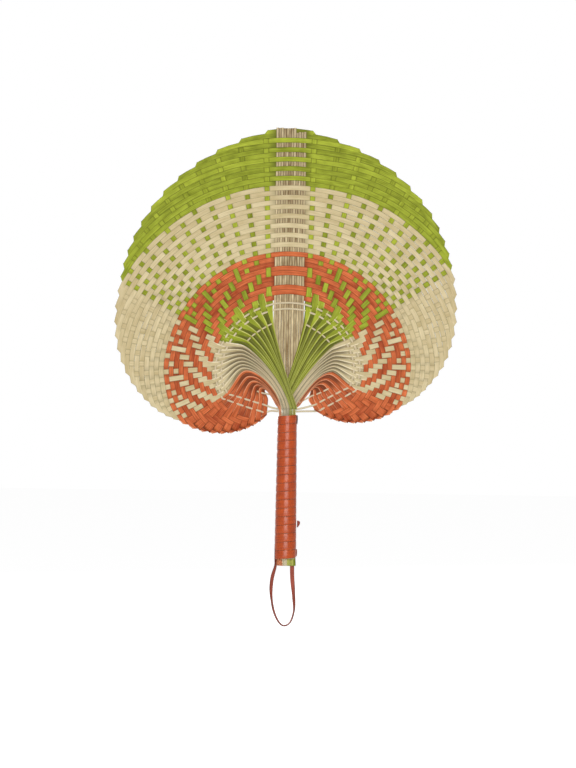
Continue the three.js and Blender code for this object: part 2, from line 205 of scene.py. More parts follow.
# Grip binding
BINDING_TURNS = 16.4
BINDING_START = 200
BINDING_STEPS = 40
BINDING_PITCH = (BINDING_TOP - BINDING_BOTTOM + 0.5 * MM) / (BINDING_TURNS + 1)
BINDING_SEAM = 0.16 * MM
BINDING_LEVEL = 0.5 * MM
BINDING_CLEARANCE = 0.3 * MM
BINDING_ROUNDNESS = 2.05
BINDING_PROFILE = ((-1, 0.2), (-0.84, 0.62), (-0.4, 0.95), (0, 1), (0.4, 0.95), (0.84, 0.62), (1, 0.2))
COAT_ROUGHNESS = 0.25
COAT_IOR = 1.42
WRAP_WIDE = 6.7 * MM
WRAP_DEEP = 6.14 * MM
# Leaf packed into the ends of the binding: its top and foot, how far in it lies and the painted shade that
# darkens it
PACKING = ((BINDING_TOP - 1.4 * MM, BINDING_TOP - 5 * MM),
           (BINDING_BOTTOM + 5 * MM, BINDING_BOTTOM + 0.9 * MM))
PACKING_INSET = 0.35 * MM
PACKING_SUNK = 0.55

# Tails at the butt: where those of each colour lie in front, and how far they turn their faces forward
TAIL_PLACES = {
    "green": (6.4 * MM, 2.4 * MM),
    "natural": (2.0 * MM, -0.7 * MM),
    "orange": (-1.0 * MM, -5.0 * MM),
}
TAIL_TURN = 52
TAIL_SQUEEZE = 0.88
TAIL_TOP = LEG_FOOT - 0.3 * MM
TAIL_CUT_SPREAD = 0.9 * MM
TAIL_LEAN = (0.3 * MM, 0.5 * MM)
TAIL_THICKENING = 1.3
# How far the tails have come to their places at the binding's end and half way from there to their own
TAIL_SPREADS = (0.85, 0.95)
# How pale the front edges of the tails are, with painted shade on their back edges, and how much painted
# shade each tail of a group gets
TAIL_PALE = {"green": -0.7, "natural": -1.0, "orange": -0.4}
TAIL_SUNKS = (0.3, 0.0, 0.15)

# Tab and loose ends of the binding, at the right of the grip
TAB_ROOT = 8.5 * MM
TAB_WIDTH = 2.3 * MM
TAB_TOP = -25.3 * MM
TAB_LENGTH = 5.4 * MM
TAB_DEPTH = 0.55 * MM
TAB_GAP = 0.15 * MM
TAB_STEPS = 12
TAB_SIDES = 8
# Tab from its round top to its tip: how high it is fullest, how full, and how wide and deep its ends are
TAB_FULLEST = 0.62
TAB_FULLNESS = 0.8
TAB_END_WIDTH = 0.12
TAB_END_DEPTH = 0.3
LOOSE_ENDS = ((54.6 * MM, 47.8 * MM), (-47.2 * MM, -52.6 * MM))
LOOSE_END_WIDTH = 2.2 * MM
LOOSE_END_LIFT = 0.5 * MM
LOOSE_END_WAY = Vector((0.5, 0.87, 0.0))
# Painted shade on each loose end, the upper one darkest
LOOSE_END_SUNKS = (0.85, 0.1)
LOOSE_END_STEPS = 5
LOOSE_END_SETTLE = 0.5
LOOSE_END_TAPER = 0.4
LOOSE_END_BOW = Vector((0.1 * MM, 0.0, 0.0))

# Twine
TWINE_INSETS = (("twine_outer", 2.9 * MM, 0), ("twine_inner", 7.5 * MM, 1))
TWINE_SIDES = 8
TWINE_SUBSTEPS = 4
TWINE_SAG = 0.08
TWINE_TIES = (((12.0 * MM, 57.7 * MM), (6.8 * MM, 57.4 * MM)),
              ((12.0 * MM, 60.2 * MM), (6.8 * MM, 59.2 * MM)))
THREAD_RADIUS = 40.5 * MM
THREAD_LEGS = 11
# First leg of the thread in each lobe and where along the legs it runs
LOBE_THREAD = {LEFT: (33, 0.72), RIGHT: (30, 0.8)}
LOBE_THREAD_TIES = {LEFT: ((-12.5 * MM, 69.8 * MM), (-8.5 * MM, 67.2 * MM)),
                    RIGHT: ((14.0 * MM, 67.0 * MM), (9.0 * MM, 64.4 * MM))}
LOBE_TWINE = ((3.8 * MM, 9.5 * MM), (-1.5 * MM, 4.0 * MM))

# Hang loop: its route sideways and below the butt in mm, and its turn edge-on at shares of its length
LOOP_OFFSET = -0.95 * MM
LOOP_DEPTH = 0.775 * MM
LOOP_TUCK = 13 * MM
LOOP_TAIL_HALF = 6.3 * MM
LOOP_ROUTE = ((-8.7, 9.4), (-9.4, 20.5), (-7.4, 33.7), (-3.4, 42.6), (0.9, 45.6), (5.6, 42.6),
              (8.2, 33.7), (7.8, 22.5), (6.6, 9.4))
LOOP_TURNS = ((0.0, 64), (0.13, 62), (0.21, 40), (0.25, 42), (0.33, 68), (0.5, 82), (0.62, 74), (0.71, 50),
              (0.78, 12), (1.0, 4))
LOOP_STEPS = 96
LOOP_BOW = 0.12 * MM

# First seed of the random draws for each kind of strip, and for the cut ends of slats and tails
SEEDS = {"slat": 40, "ribbon": 71, "tab": 72, "loose end": 73, "packing": 77, "twine": 80, "thread": 90,
         "lobe thread": 91, "loop": 95, "slat cut": 100, "tail cut": 500, "tail": 600}
SLAT_SEED_STEP = 3

# Lamps: name, place, width, height and share of the lamps' power
LAMPS = (
    ("key lamp", (0.55, -1.9, 1.1), 0.9, 0.9, 0.5),
    ("left lamp", (-1.5, -1.4, 0.9), 1.4, 1.4, 0.2),
    ("front lamp", (0.05, -2.2, 0.05), 1.2, 1.5, 2.15),
    ("back lamp", (-0.9, 2.0, 0.7), 1.4, 1.4, 1.3),
)
SENSOR_HEIGHT = 36.0
CAMERA_REACH = 100.0
FLOOR_SIZE = 6.0
FLOOR_COLOUR = (0.8, 0.8, 0.8, 1.0)
FLOOR_GLOW = 0.82


def srgb(red, green, blue):
    """Linear colour from screen values of 0 to 255."""
    def linear(value):
        value /= 255.0
        if value <= 0.04045:
            return value / 12.92
        return ((value + 0.055) / 1.055) ** 2.4
    return (linear(red), linear(green), linear(blue))


def length_property(name, description, default):
    """Length setting in metres."""
    return FloatProperty(name=name, description=description, default=default, min=0.0, unit="LENGTH",
                         precision=5)


def colour_property(name, description, default):
    """Colour setting."""
    return FloatVectorProperty(name=name, description=description, default=default, subtype="COLOR",
                               size=3, min=0.0, max=1.0)


class FanWeaveSettings(bpy.types.PropertyGroup):
    """Sizes of the woven blade."""

    splint_width: length_property("Splint width", "Width of a woven splint", 3.75 * MM)
    splint_thickness: length_property("Splint thickness", "Thickness of split palm leaf", 0.22 * MM)
    weave_rise: length_property("Weave rise", "How far a splint stands off the middle of the weave", 0.3 * MM)
    splint_crown: length_property("Splint crown", "How far a splint bows out across its width", 0.2 * MM)
    twine_diameter: length_property("Twine diameter", "Diameter of the twine", 1.4 * MM)
    thread_diameter: length_property("Thread diameter", "Diameter of the thin inner thread", 1.15 * MM)


class FanHandleSettings(bpy.types.PropertyGroup):
    """Sizes of the handle and its loop."""

    binding_thickness: length_property("Binding thickness", "Thickness of the wound ribbon", 0.3 * MM)
    binding_crown: length_property("Binding crown", "How far each turn bows out", 0.18 * MM)
    tail_splay: FloatProperty(name="Tail splay", description="How much the cut tails spread at the butt",
                              default=1.06, min=1.0, max=1.3, subtype="FACTOR")
    loop_width: length_property("Loop width", "Width of the hanging loop's splint", 3.2 * MM)
    loop_thickness: length_property("Loop thickness", "Thickness of the hanging loop's splint", 0.5 * MM)


class FanColourSettings(bpy.types.PropertyGroup):
    """Colours of the leaf, the stalk and the twine."""

    # Each shade colour gives the darker streaks, and is also the base of the painted shade in the gaps and
    # where strips lie deep
    green: colour_property("Green leaf", "Dyed green leaf", srgb(188, 200, 62))
    green_shade: colour_property("Green shade", "Darker streaks of the green leaf", srgb(112, 122, 20))
    green_edge: colour_property("Green edge", "Cut edge of the green leaf", srgb(214, 214, 120))
    natural: colour_property("Natural leaf", "Undyed leaf", srgb(232, 216, 174))
    natural_shade: colour_property("Natural shade", "Darker streaks of the undyed leaf", srgb(196, 176, 128))
    natural_edge: colour_property("Natural edge", "Cut edge of the undyed leaf", srgb(246, 234, 202))
    orange: colour_property("Orange leaf", "Dyed orange leaf", srgb(243, 133, 78))
    orange_shade: colour_property("Orange shade", "Darker streaks of the orange leaf", srgb(154, 56, 20))
    orange_edge: colour_property("Orange edge", "Cut edge of the orange leaf", srgb(234, 164, 122))
    stalk: colour_property("Stalk", "Light slats of the rib", srgb(255, 236, 190))
    stalk_shade: colour_property("Stalk shade", "Dark slats of the rib", srgb(128, 98, 56))
    binding: colour_property("Binding", "Wound ribbon", srgb(214, 90, 14))
    binding_shade: colour_property("Binding shade", "Dark streaks and seams of the ribbon", srgb(166, 58, 6))
    loop: colour_property("Loop", "Hanging loop and tab", srgb(188, 100, 82))
    loop_shade: colour_property("Loop shade", "Dark streaks of the hanging loop", srgb(128, 58, 46))
    twine: colour_property("Twine", "Light strands of the twine", srgb(246, 232, 200))
    # The twine's shade colour is painted shade in the hollows between its strands
    twine_shade: colour_property("Twine shade", "Hollows between the strands", srgb(186, 164, 122))


class FanStageSettings(bpy.types.PropertyGroup):
    """Camera, lamps and floor."""

    camera_distance: length_property("Camera distance", "Distance from the blade to the camera", 2.0)
    camera_roll: FloatProperty(name="Camera roll", description="Turn of the camera about its line of sight",
                               default=math.radians(0.85), subtype="ANGLE")
    frame_height: length_property("Frame height", "Height that the frame covers at the blade", 0.5837)
    target: FloatVectorProperty(name="Target", description="Point at the middle of the frame",
                                default=(0.0002, 0.0, 0.0783), subtype="TRANSLATION")
    lamp_power: FloatProperty(name="Lamp power", description="Power that each lamp has its share of",
                              default=15.7, unit="POWER")
    world_strength: FloatProperty(name="World strength", description="Even light from all round", default=0.2)
    floor_height: FloatProperty(name="Floor height", description="Height of the floor", default=-0.25,
                                unit="LENGTH")


# Small helpers

def clamp(value):
    return min(1.0, max(0.0, value))


def mix(first, second, share):
    return first + (second - first) * share


def ease(share):
    share = clamp(share)
    return share * share * (3.0 - 2.0 * share)


def eased_past(share, start, span):
    return ease((share - start) / span)


def splint_list():
    """Name, colour and fold angle of each splint from the tip inwards, and the angles of an even spread."""
    splints = []
    even_angles = []
    for colour, count, first, step, loss in BANDS:
        for place in range(count):
            angle = first + step * place - loss * place * place
            fold = angle + RIM_SWELL[colour] * place * (count - 1 - place)
            splints.append((f"{colour}_splint_{place + 1:02d}", colour, fold))
            even_angles.append(angle)
    return splints, even_angles


SPLINTS, EVEN_ANGLES = splint_list()
SPLINT_COUNT = len(SPLINTS)
LAST_ANGLE = SPLINTS[-1][2]
TWILL_START = SPLINT_COUNT - TWILL_ROWS
ORANGE_START = BANDS[0][1] + BANDS[1][1]
BUNDLE_HALF = (SPLINT_COUNT - 1) * LEG_PITCH / 2
GATHER_RADIUS = WEAVE_INNER_RADIUS - NECK_REACH


def band_place(index, places):
    """Value of a splint between the two that its band has, from its first splint to its last."""
    first = 0
    for colour, count, *_ in BANDS:
        if index < first + count:
            return mix(*places[colour], (index - first) / (count - 1))
        first += count
    raise ValueError(f"splint {index} is in no band")


# Outline of the blade

def flare(height):
    """How much wider the handle is at a height than at its top."""
    return mix(1.0, BUTT_FLARE, clamp((BINDING_TOP - height) / (BINDING_TOP - BUTT_HEIGHT)))


def blade_point(angle, radius, depth=0.0):
    """Point of the blade at an angle from the rib, negative on the left."""
    turn = math.radians(angle * RIGHT_SPREAD if angle > 0 else angle)
    return Vector((radius * math.sin(turn), depth, BLADE_CENTRE + radius * math.cos(turn)))


def blade_angle(point):
    """Angle from the rib of a point of the blade, without its sign."""
    angle = math.degrees(math.atan2(point.x, point.z - BLADE_CENTRE))
    return angle / RIGHT_SPREAD if angle > 0 else -angle


def outwards(point):
    return Vector((point.x, 0.0, point.z - BLADE_CENTRE)).normalized()


def drawn_in(angle):
    """How far the lobes draw in towards the handle."""
    past = max(0.0, abs(angle) - DRAW_IN_START) / DRAW_IN_SPAN
    return DRAW_IN * past * past


def row_radius(index):
    return WEAVE_INNER_RADIUS + (SPLINT_COUNT - index - 0.5) * ROW_PITCH


def rim_growth(index, angle):
    """How much farther out a row lies at the sides of the blade."""
    most, inner, span, first, turn = RIM_GROWTH[RIGHT if angle > 0 else LEFT]
    return most * clamp((row_radius(index) - inner) / span) * ease((abs(angle) - first) / turn)


def rim_dip(index, angle):
    """How far a row dips inwards as it comes to its fold, so that the rim steps down gently."""
    past = clamp(1.0 - (SPLINTS[index][2] - abs(angle)) / RIM_DIP_SPAN)
    return RIM_DIP * past * past


def row_point(index, angle, depth=0.0):
    place = Vector((angle / ROW_WANDER_SPAN, index * ROW_WANDER_STEP, ROW_WANDER_START))
    wander = ROW_WANDER * noise.noise(place)
    radius = row_radius(index) + rim_growth(index, angle) - drawn_in(angle)
    return blade_point(angle, radius - rim_dip(index, angle) + wander, depth)


def lobe_share(angle, start):
    return clamp((angle - start) / (LAST_ANGLE - start))


def gather_angle(angle, side):
    """Angle at which a splint comes out of the neck."""
    if angle > STRAIGHT_ANGLE:
        return angle - LOBE_LEAN * lobe_share(angle, STRAIGHT_ANGLE) ** 2
    beside = math.degrees(math.asin(BESIDE_RIB / GATHER_RADIUS))
    first = beside / RIGHT_SPREAD if side > 0 else beside
    share = (angle - SPLINTS[0][2]) / (STRAIGHT_ANGLE - SPLINTS[0][2])
    return mix(first, STRAIGHT_ANGLE, share)


# Courses of the splints

def hermite(start, out, end, into, share):
    """Point of a smooth curve between two points with the given pulls at its ends."""
    square = share * share
    cube = square * share
    return (start * (2 * cube - 3 * square + 1) + out * (cube - 2 * square + share)
            + end * (3 * square - 2 * cube) + into * (cube - square))


def curve_point(course, share):
    """Point of a leg from the handle, over the ridge at half way, to where it is gathered."""
    start, rise, ridge, turn, gather, arrival = course
    first = (ridge - start).length
    second = (gather - ridge).length
    if share < RIDGE_SHARE:
        point = hermite(start, rise * first, ridge, turn * first * RIDGE_PULL, share * 2)
    else:
        point = hermite(ridge, turn * second * RIDGE_PULL, gather, arrival * second, share * 2 - 1)
    in_front = NECK_FRONT[LEFT if start.y < 0 else RIGHT]
    crossed = mix(start.y, in_front, eased_past(share, *NECK_CROSS))
    point.y = mix(crossed, 0.0, eased_past(share, *NECK_LEVEL))
    return point


def curve_tangent(course, share):
    before = curve_point(course, max(0.0, share - TANGENT_STEP))
    after = curve_point(course, min(1.0, share + TANGENT_STEP))
    return (after - before).normalized()


def ridge_point(index, side):
    """Where a leg passes over the ridge above the neck."""
    for (low, angle, radius), (high, next_angle, next_radius) in zip(RIDGE, RIDGE[1:]):
        if index <= high:
            share = (index - low) / (high - low)
            turn = math.radians(mix(angle, next_angle, share))
            reach = mix(radius, next_radius, share)
            return Vector((side * reach * math.sin(turn), 0.0, BLADE_CENTRE + reach * math.cos(turn)))
    raise ValueError(f"splint {index} has no place on the ridge")


def leg_gather(index, side):
    """Where a leg comes to the inner edge of the weave; the curled ones fill in evenly to the innermost."""
    hinge = ORANGE_START - 1
    angle = EVEN_ANGLES[min(index, hinge)]
    gather = blade_point(side * gather_angle(angle, side), GATHER_RADIUS - drawn_in(angle))
    if index > hinge:
        x, z = INNER_GATHER[side]
        gather = gather.lerp(Vector((x, 0.0, z)), (index - hinge) / (SPLINT_COUNT - 1 - hinge))
    return gather


def leg_courses(side):
    """Curves and folds of all the legs of one side."""
    courses = []
    for index in range(SPLINT_COUNT):
        order = index / (SPLINT_COUNT - 1)
        gather = leg_gather(index, side)
        fold = row_point(index, side * SPLINTS[index][2])
        across = BUNDLE_HALF * (1.0 - 2.0 * band_place(index, NECK_SHARES)) * NECK_SPREAD
        start = Vector((-side * across, side * LEG_DEPTH, NECK_HEIGHT))
        lobe = clamp((index - ORANGE_START + 1) / (SPLINT_COUNT - ORANGE_START))
        lean = NECK_LEAN + NECK_LEAN_GAIN[side] * order + LOBE_LEG_LEAN[side] * lobe
        rise = Vector((side * lean, 0.0, 1.0)).normalized()
        ridge = ridge_point(index, side)
        turn = ((ridge - start).normalized() + (gather - ridge).normalized()).normalized()
        arrival = (fold - gather).normalized()
        courses.append(((start, rise, ridge, turn, gather, arrival), fold))
    return courses


def ribwards(heading, side):
    return Vector((-side * heading.z, 0.0, side * heading.x)).normalized()


def room_beside(index, heading, points):
    """Room from one leg to its farther neighbour, across its heading."""
    rooms = []
    for other in (index - 1, index + 1):
        if 0 <= other < SPLINT_COUNT:
            gap = points[other] - points[index]
            rooms.append((gap - heading * gap.dot(heading)).length)
    return max(rooms)


def crossing(course, fold, row):
    """Distance from the gather point at which a leg crosses a row, and the angle there."""
    gather = course[4]
    heading = (fold - gather).normalized()
    low = 0.0
    high = (fold - gather).length
    for _ in range(CROSSING_HALVINGS):
        middle = (low + high) / 2
        point = gather + heading * middle
        radius = math.hypot(point.x, point.z - BLADE_CENTRE)
        angle = blade_angle(point)
        if radius + drawn_in(angle) < row_radius(row) + rim_growth(row, math.copysign(angle, point.x)):
            low = middle
        else:
            high = middle
    return low, blade_angle(gather + heading * low)


def warp_on_top(warp, row):
    """Whether an upright splint passes in front of a row: plain weave, then twill in the inner rows."""
    if row < TWILL_START:
        return (warp + row) % 2 == 0
    return (row - ORANGE_START - warp) % TWILL_REPEAT in (0, TWILL_REPEAT - 1)


def row_over_rib(index):
    if index >= TWILL_START:
        return (index - TWILL_START + 1) % TWILL_REPEAT >= TWILL_REPEAT // 2
    return index >= TIP_ROWS_BEHIND_RIB and index % 2 == 0


class WeavePlan:
    """Courses and crossings of all the splints."""

    def __init__(self, weave):
        self.weave = weave
        self.courses = {side: leg_courses(side) for side in (LEFT, RIGHT)}
        self.crossings = {}
        for side in (LEFT, RIGHT):
            for warp, (course, fold) in enumerate(self.courses[side]):
                for row in range(warp + 1, SPLINT_COUNT):
                    self.crossings[side, warp, row] = crossing(course, fold, row)

    def ring(self, centre, half_wide, crown, pale=0.0, sunk=0.0):
        """Three points across a splint, the middle one bowed out; how pale its front cut edge is, with
        painted shade on its back edge (positive where its last edge is in front, negative where its first
        is); and how much painted shade it gets where it lies deep."""
        return [centre - half_wide, centre + crown, centre + half_wide], pale, sunk

    def sunk_at(self, index, share):
        """Painted shade on a leg where it lies deep among its neighbours, from the handle to the inner edge
        of the weave.
        """
        in_neck = SUNK_IN_NECK[index % len(SUNK_IN_NECK)]
        at_ridge = SUNK_AT_RIDGE[index % len(SUNK_AT_RIDGE)]
        risen = mix(in_neck, at_ridge, eased_past(share, *SUNK_TO_RIDGE))
        return risen * (1.0 - eased_past(share, *SUNK_FADE))

    def sunk_under(self, index, depth):
        """Painted shade on a splint at a depth behind the middle of the weave, where it passes under another.
        """
        return SUNK_UNDER[SPLINTS[index][1]] * clamp(depth / self.weave.weave_rise)

    def leg_room(self, index, side, distance):
        """Room from a leg to its farther neighbour, at a distance from where they are gathered."""
        places = [self.leg_past_gather(other, side, distance) for other in range(SPLINT_COUNT)]
        course, fold = self.courses[side][index]
        return room_beside(index, (fold - course[4]).normalized(), places)

    def leg_width(self, index, side, distance):
        """Width of a leg, which fills the room that it has up to its widest."""
        room = self.leg_room(index, side, distance)
        away = clamp(distance / LEG_NECK_REACH)
        colour = SPLINTS[index][1]
        if index >= ORANGE_START:
            widest = LOBE_LEG_WIDEST
        elif index % 2:
            widest = mix(LOBE_LEG_WIDEST, LEG_WIDEST, away)
            room *= LEG_BEHIND_FILL
        else:
            widest = mix(LEG_WIDEST_AT_NECK[colour], LEG_WIDEST, away)
            room *= mix(LEG_FILL_AT_NECK[colour], 1.0, away)
        return min(widest, room)

    def twine_push(self, index, point):
        """How far the twine pushes a leg back or forward where it passes over or under it."""
        radius = math.hypot(point.x, point.z - BLADE_CENTRE) + drawn_in(blade_angle(point))
        push = 0.0
        for _, inset, turn in TWINE_INSETS:
            way = (radius - WEAVE_INNER_RADIUS + inset) / TWINE_PUSH_REACH
            push += (1 if (index + turn) % 2 == 0 else -1) * math.exp(-way * way)
        return push * TWINE_PUSH

    def neck_rings(self, index, side):
        """Rings from the foot in the handle along the curve to the inner edge of the weave."""
        weave = self.weave
        courses = [course for course, _ in self.courses[side]]
        course = courses[index]
        gather_width = self.leg_width(index, side, 0.0)
        orange = index >= ORANGE_START
        start = course[0]
        scale = flare(LEG_FOOT)
        foot = Vector((start.x / NECK_SPREAD * scale, start.y * scale, LEG_FOOT))
        mouth = Vector((start.x / NECK_SPREAD, start.y, BINDING_TOP))
        climb = (start - mouth).length
        places = [foot]
        for step in range(MOUTH_STEPS):
            places.append(hermite(mouth, UP * climb, start, course[1] * climb, step / MOUTH_STEPS))
        half = BACK * (side * NECK_LEG_WIDTH / 2)
        rings = [self.ring(place, half, Vector(), -side, self.sunk_at(index, 0.0)) for place in places]
        for step in range(LEG_STEPS + 1):
            share = step / LEG_STEPS
            tangent = curve_tangent(course, share)
            inward = ribwards(tangent, side)
            spacing = room_beside(index, tangent, [curve_point(other, share) for other in courses])
            width = mix(NECK_LEG_WIDTH, gather_width, share if orange else share * share)
            overlap = mix(*NECK_OVERLAP[index % 2], eased_past(share, *OVERLAP_CHANGE))
            if orange:
                overlap = LOBE_OVERLAP
                width = max(width, LOBE_LEG_FILL * spacing)
            elif index % 2 == 0:
                width = min(width, overlap * spacing / NECK_FACE_ON)
            face_on = min(1.0, overlap * spacing / width)
            edge_on = math.sqrt(1.0 - face_on * face_on)
            wide = inward * face_on + BACK * (side * edge_on)
            thick = BACK * face_on - inward * (side * edge_on)
            centre = curve_point(course, share)
            push = self.twine_push(index, centre)
            sunk = self.sunk_at(index, share)
            centre.y += push + SUNK_DEPTH * sunk * ease(share * 2)
            bow = thick * (-weave.splint_crown * share)
            # Painted shade where the leg lies deep, and where the twine pushes it back
            dark = max(sunk, SUNK_BY_TWINE * clamp(push / TWINE_PUSH))
            # Pale front edge and painted shade on the back edge, fading past the ridge
            pale = -side * mix(1.0, PALE_AT_GATHER[SPLINTS[index][1]], eased_past(share, *PALE_FADE))
            rings.append(self.ring(centre, wide * (width / 2), bow, pale, dark))
        return rings

    def leg_rings(self, index, side):
        """Rings of one leg, over and under the rows that it crosses, up to its fold."""
        weave = self.weave
        rings = self.neck_rings(index, side)
        course, fold = self.courses[side][index]
        gather = course[4]
        heading = (fold - gather).normalized()
        length = (fold - gather).length
        inward = ribwards(heading, side)
        depths = []
        for row in range(SPLINT_COUNT - 1, index, -1):
            distance = self.crossings[side, index, row][0]
            depth = -weave.weave_rise if warp_on_top(index, row) else weave.weave_rise
            flat = FLAT_SHARE * ROW_PITCH
            depths.append((distance - flat, depth))
            depths.append((distance + flat, depth))
        depths.append((length - FOLD_ROOM * weave.splint_width, weave.weave_rise))
        for distance, depth in depths:
            width = self.leg_width(index, side, distance)
            if index < ORANGE_START:
                width = mix(width, weave.splint_width, (distance / length) ** LEG_TAPER)
            centre = gather + heading * distance + BACK * depth
            # Pale front edge and painted shade on the back edge, fading past the gather
            pale = -side * PALE_AT_GATHER[SPLINTS[index][1]] * clamp(1.0 - distance / PALE_EDGE_REACH)
            # Painted shade where the leg passes under a row, less in the lobes
            sunk = self.sunk_under(index, depth)
            if index >= ORANGE_START:
                sunk *= SUNK_LOBE_LEGS
            rings.append(self.ring(centre, inward * (width / 2), FRONT * weave.splint_crown, pale, sunk))
        return rings + self.fold_rings(index, side, heading)

    def fold_rings(self, index, side, heading):
        """Rings round the fold at the rim, from the leg behind to the row in front."""
        weave = self.weave
        angle = SPLINTS[index][2]
        fold = row_point(index, side * angle)
        along = (row_point(index, side * (angle - 1.0)) - fold).normalized()
        inward = ribwards(heading, side)
        offset = (outwards(fold) - inward) * (weave.splint_width / 2)
        share = (offset.x * along.z - offset.z * along.x) / (heading.x * along.z - heading.z * along.x)
        crease = inward * (weave.splint_width / 2) + heading * share
        bulge = Vector((-crease.z, 0.0, crease.x)).normalized()
        if bulge.dot(heading) < 0:
            bulge.negate()
        # Pale tips at the lobes' folds, partly cut edge and partly painted glint, with painted shade on the
        # back edge
        pale = PALE_AT_FOLD if index >= ORANGE_START else 0.0
        rings = []
        for step in range(FOLD_STEPS + 1):
            turn = math.pi * step / FOLD_STEPS
            centre = fold + (bulge * math.sin(turn) + BACK * math.cos(turn)) * weave.weave_rise
            rings.append(self.ring(centre, crease, Vector(), pale))
        return rings

    def half_row(self, index, side):
        """Angles and depths of a row from one fold to the rib."""
        weave = self.weave
        radius = row_radius(index)
        fold_angle = SPLINTS[index][2]
        profile = [(fold_angle - math.degrees(FOLD_ROOM * weave.splint_width / radius), -weave.weave_rise)]
        angles = [self.crossings[side, warp, index][1] for warp in range(index)]
        for warp in range(index - 1, -1, -1):
            spacing = abs(angles[warp] - angles[warp - 1]) if warp else angles[warp]
            here = radius - drawn_in(angles[warp])
            flat = min(math.degrees(FLAT_HALF / here), FLAT_SHARE * spacing)
            under = warp_on_top(warp, index)
            depth = weave.weave_rise if under else -weave.weave_rise
            dip = flat + math.degrees(DIP_RAMP / here)
            shoulder = [(dip, DIP_LEVEL * weave.weave_rise)] if under and dip < DIP_ROOM * spacing else []
            steps = shoulder + [(flat, depth), (-flat, depth)] + [(-way, level) for way, level in shoulder]
            profile += [(angles[warp] + way, level) for way, level in steps]
        pass_depth = SLAT_THICKNESS / 2 + weave.splint_thickness / 2 + RIB_CLEARANCE
        rib_depth = -pass_depth if row_over_rib(index) else pass_depth
        spread = RIGHT_SPREAD if side > 0 else 1.0
        profile.append((math.degrees(math.asin(RIB_EDGE / radius)) / spread, rib_depth))
        return [(side * angle, depth) for angle, depth in profile]

    def row_rings(self, index):
        """Rings of a row between its folds, over and under the upright splints and the rib."""
        weave = self.weave
        profile = self.half_row(index, LEFT) + self.half_row(index, RIGHT)[::-1]
        # Pale tips near the lobes' folds, partly cut edge and partly painted glint
        tip = PALE_AT_FOLD if index >= ORANGE_START else 0.0
        rings = []
        for (angle, depth), (next_angle, next_depth) in zip(profile, profile[1:] + profile[-1:]):
            steps = max(1, math.ceil(abs(next_angle - angle) / ROW_STEP))
            for step in range(steps):
                share = step / steps
                level = mix(depth, next_depth, ease(share))
                here = mix(angle, next_angle, share)
                centre = row_point(index, here, level)
                half = outwards(centre) * (weave.splint_width / 2)
                from_fold = math.radians(SPLINTS[index][2] - abs(here)) * row_radius(index)
                pale = tip * clamp(1.0 - from_fold / PALE_FOLD_REACH)
                rings.append(self.ring(centre, half, FRONT * weave.splint_crown, pale,
                                       self.sunk_under(index, level)))
        return rings

    def splint_rings(self, index):
        """Rings of one splint: up the left, across as a row, down the right."""
        return self.leg_rings(index, LEFT) + self.row_rings(index) + self.leg_rings(index, RIGHT)[::-1]

    def leg_past_gather(self, index, side, distance):
        """Place on a leg at a distance past where it is gathered."""
        course, fold = self.courses[side][index]
        return course[4] + (fold - course[4]).normalized() * distance

    def leg_at_radius(self, index, side, radius):
        """Place at which a leg's curve passes a distance from the blade's centre."""
        course = self.courses[side][index][0]
        low = RIDGE_SHARE
        high = 1.0
        for _ in range(LEG_HALVINGS):
            middle = (low + high) / 2
            point = curve_point(course, middle)
            if math.hypot(point.x, point.z - BLADE_CENTRE) + drawn_in(blade_angle(point)) < radius:
                low = middle
            else:
                high = middle
        return curve_point(course, low)


# Meshes

FIBRE_SHIFT = 17.3
WELD_DISTANCE = 0.2e-6
LAYERS = ("tone", "pale", "sunk")


def new_piece_mesh():
    """Empty mesh with a map along and across the fibres and layers for tone, pale edges and darkness."""
    bm = bmesh.new()
    bm.loops.layers.uv.new("fibre")
    for layer in LAYERS:
        bm.verts.layers.float.new(layer)
    return bm


def lay_strip(bm, rings, seed, closed=False, pales=None, sunks=None, shade=None, across_sunks=None, span=1.0):
    """Lay a grid of faces through rings of points; a closed one is joined round and capped.
    Pales and sunks go along the rings, across_sunks adds to the sunks across them, and span is how much of
    the leaf's width the strip shows."""
    fibre = bm.loops.layers.uv["fibre"]
    tone, pale, sunk = (bm.verts.layers.float[layer] for layer in LAYERS)
    across = len(rings[0]) - 1
    if closed:
        rings = [ring + ring[:1] for ring in rings]
        across += 1
    made = bmesh.ops.create_grid(bm, x_segments=across, y_segments=len(rings) - 1, size=1.0)
    verts = sorted(made["verts"], key=lambda vert: (round(vert.co.y, 6), vert.co.x))
    chance = random.Random(seed).random()
    if shade is None:
        shade = chance
    place = {}
    along = FIBRE_SHIFT * chance
    for row, ring in enumerate(rings):
        if row:
            along += ((ring[0] + ring[-1]) - (rings[row - 1][0] + rings[row - 1][-1])).length / 2
        for column, point in enumerate(ring):
            vert = verts[row * (across + 1) + column]
            vert.co = point
            vert[tone] = shade
            vert[pale] = pales[row] if pales else 0.0
            vert[sunk] = sunks[row] if sunks else 0.0
            if across_sunks:
                vert[sunk] = min(1.0, vert[sunk] + across_sunks[column % len(across_sunks)])
            place[vert] = Vector((along, (2.0 * column / across - 1.0) * span))
    faces = {face for vert in verts for face in vert.link_faces}
    for face in faces:
        for loop in face.loops:
            loop[fibre].uv = place[loop.vert]
    if closed:
        bmesh.ops.remove_doubles(bm, verts=verts, dist=WELD_DISTANCE)
        rims = [edge for face in faces for edge in face.edges if edge.is_boundary]
        caps = bmesh.ops.holes_fill(bm, edges=list(set(rims)), sides=0)["faces"]
        for edge in {edge for face in caps for edge in face.edges}:
            edge.smooth = False


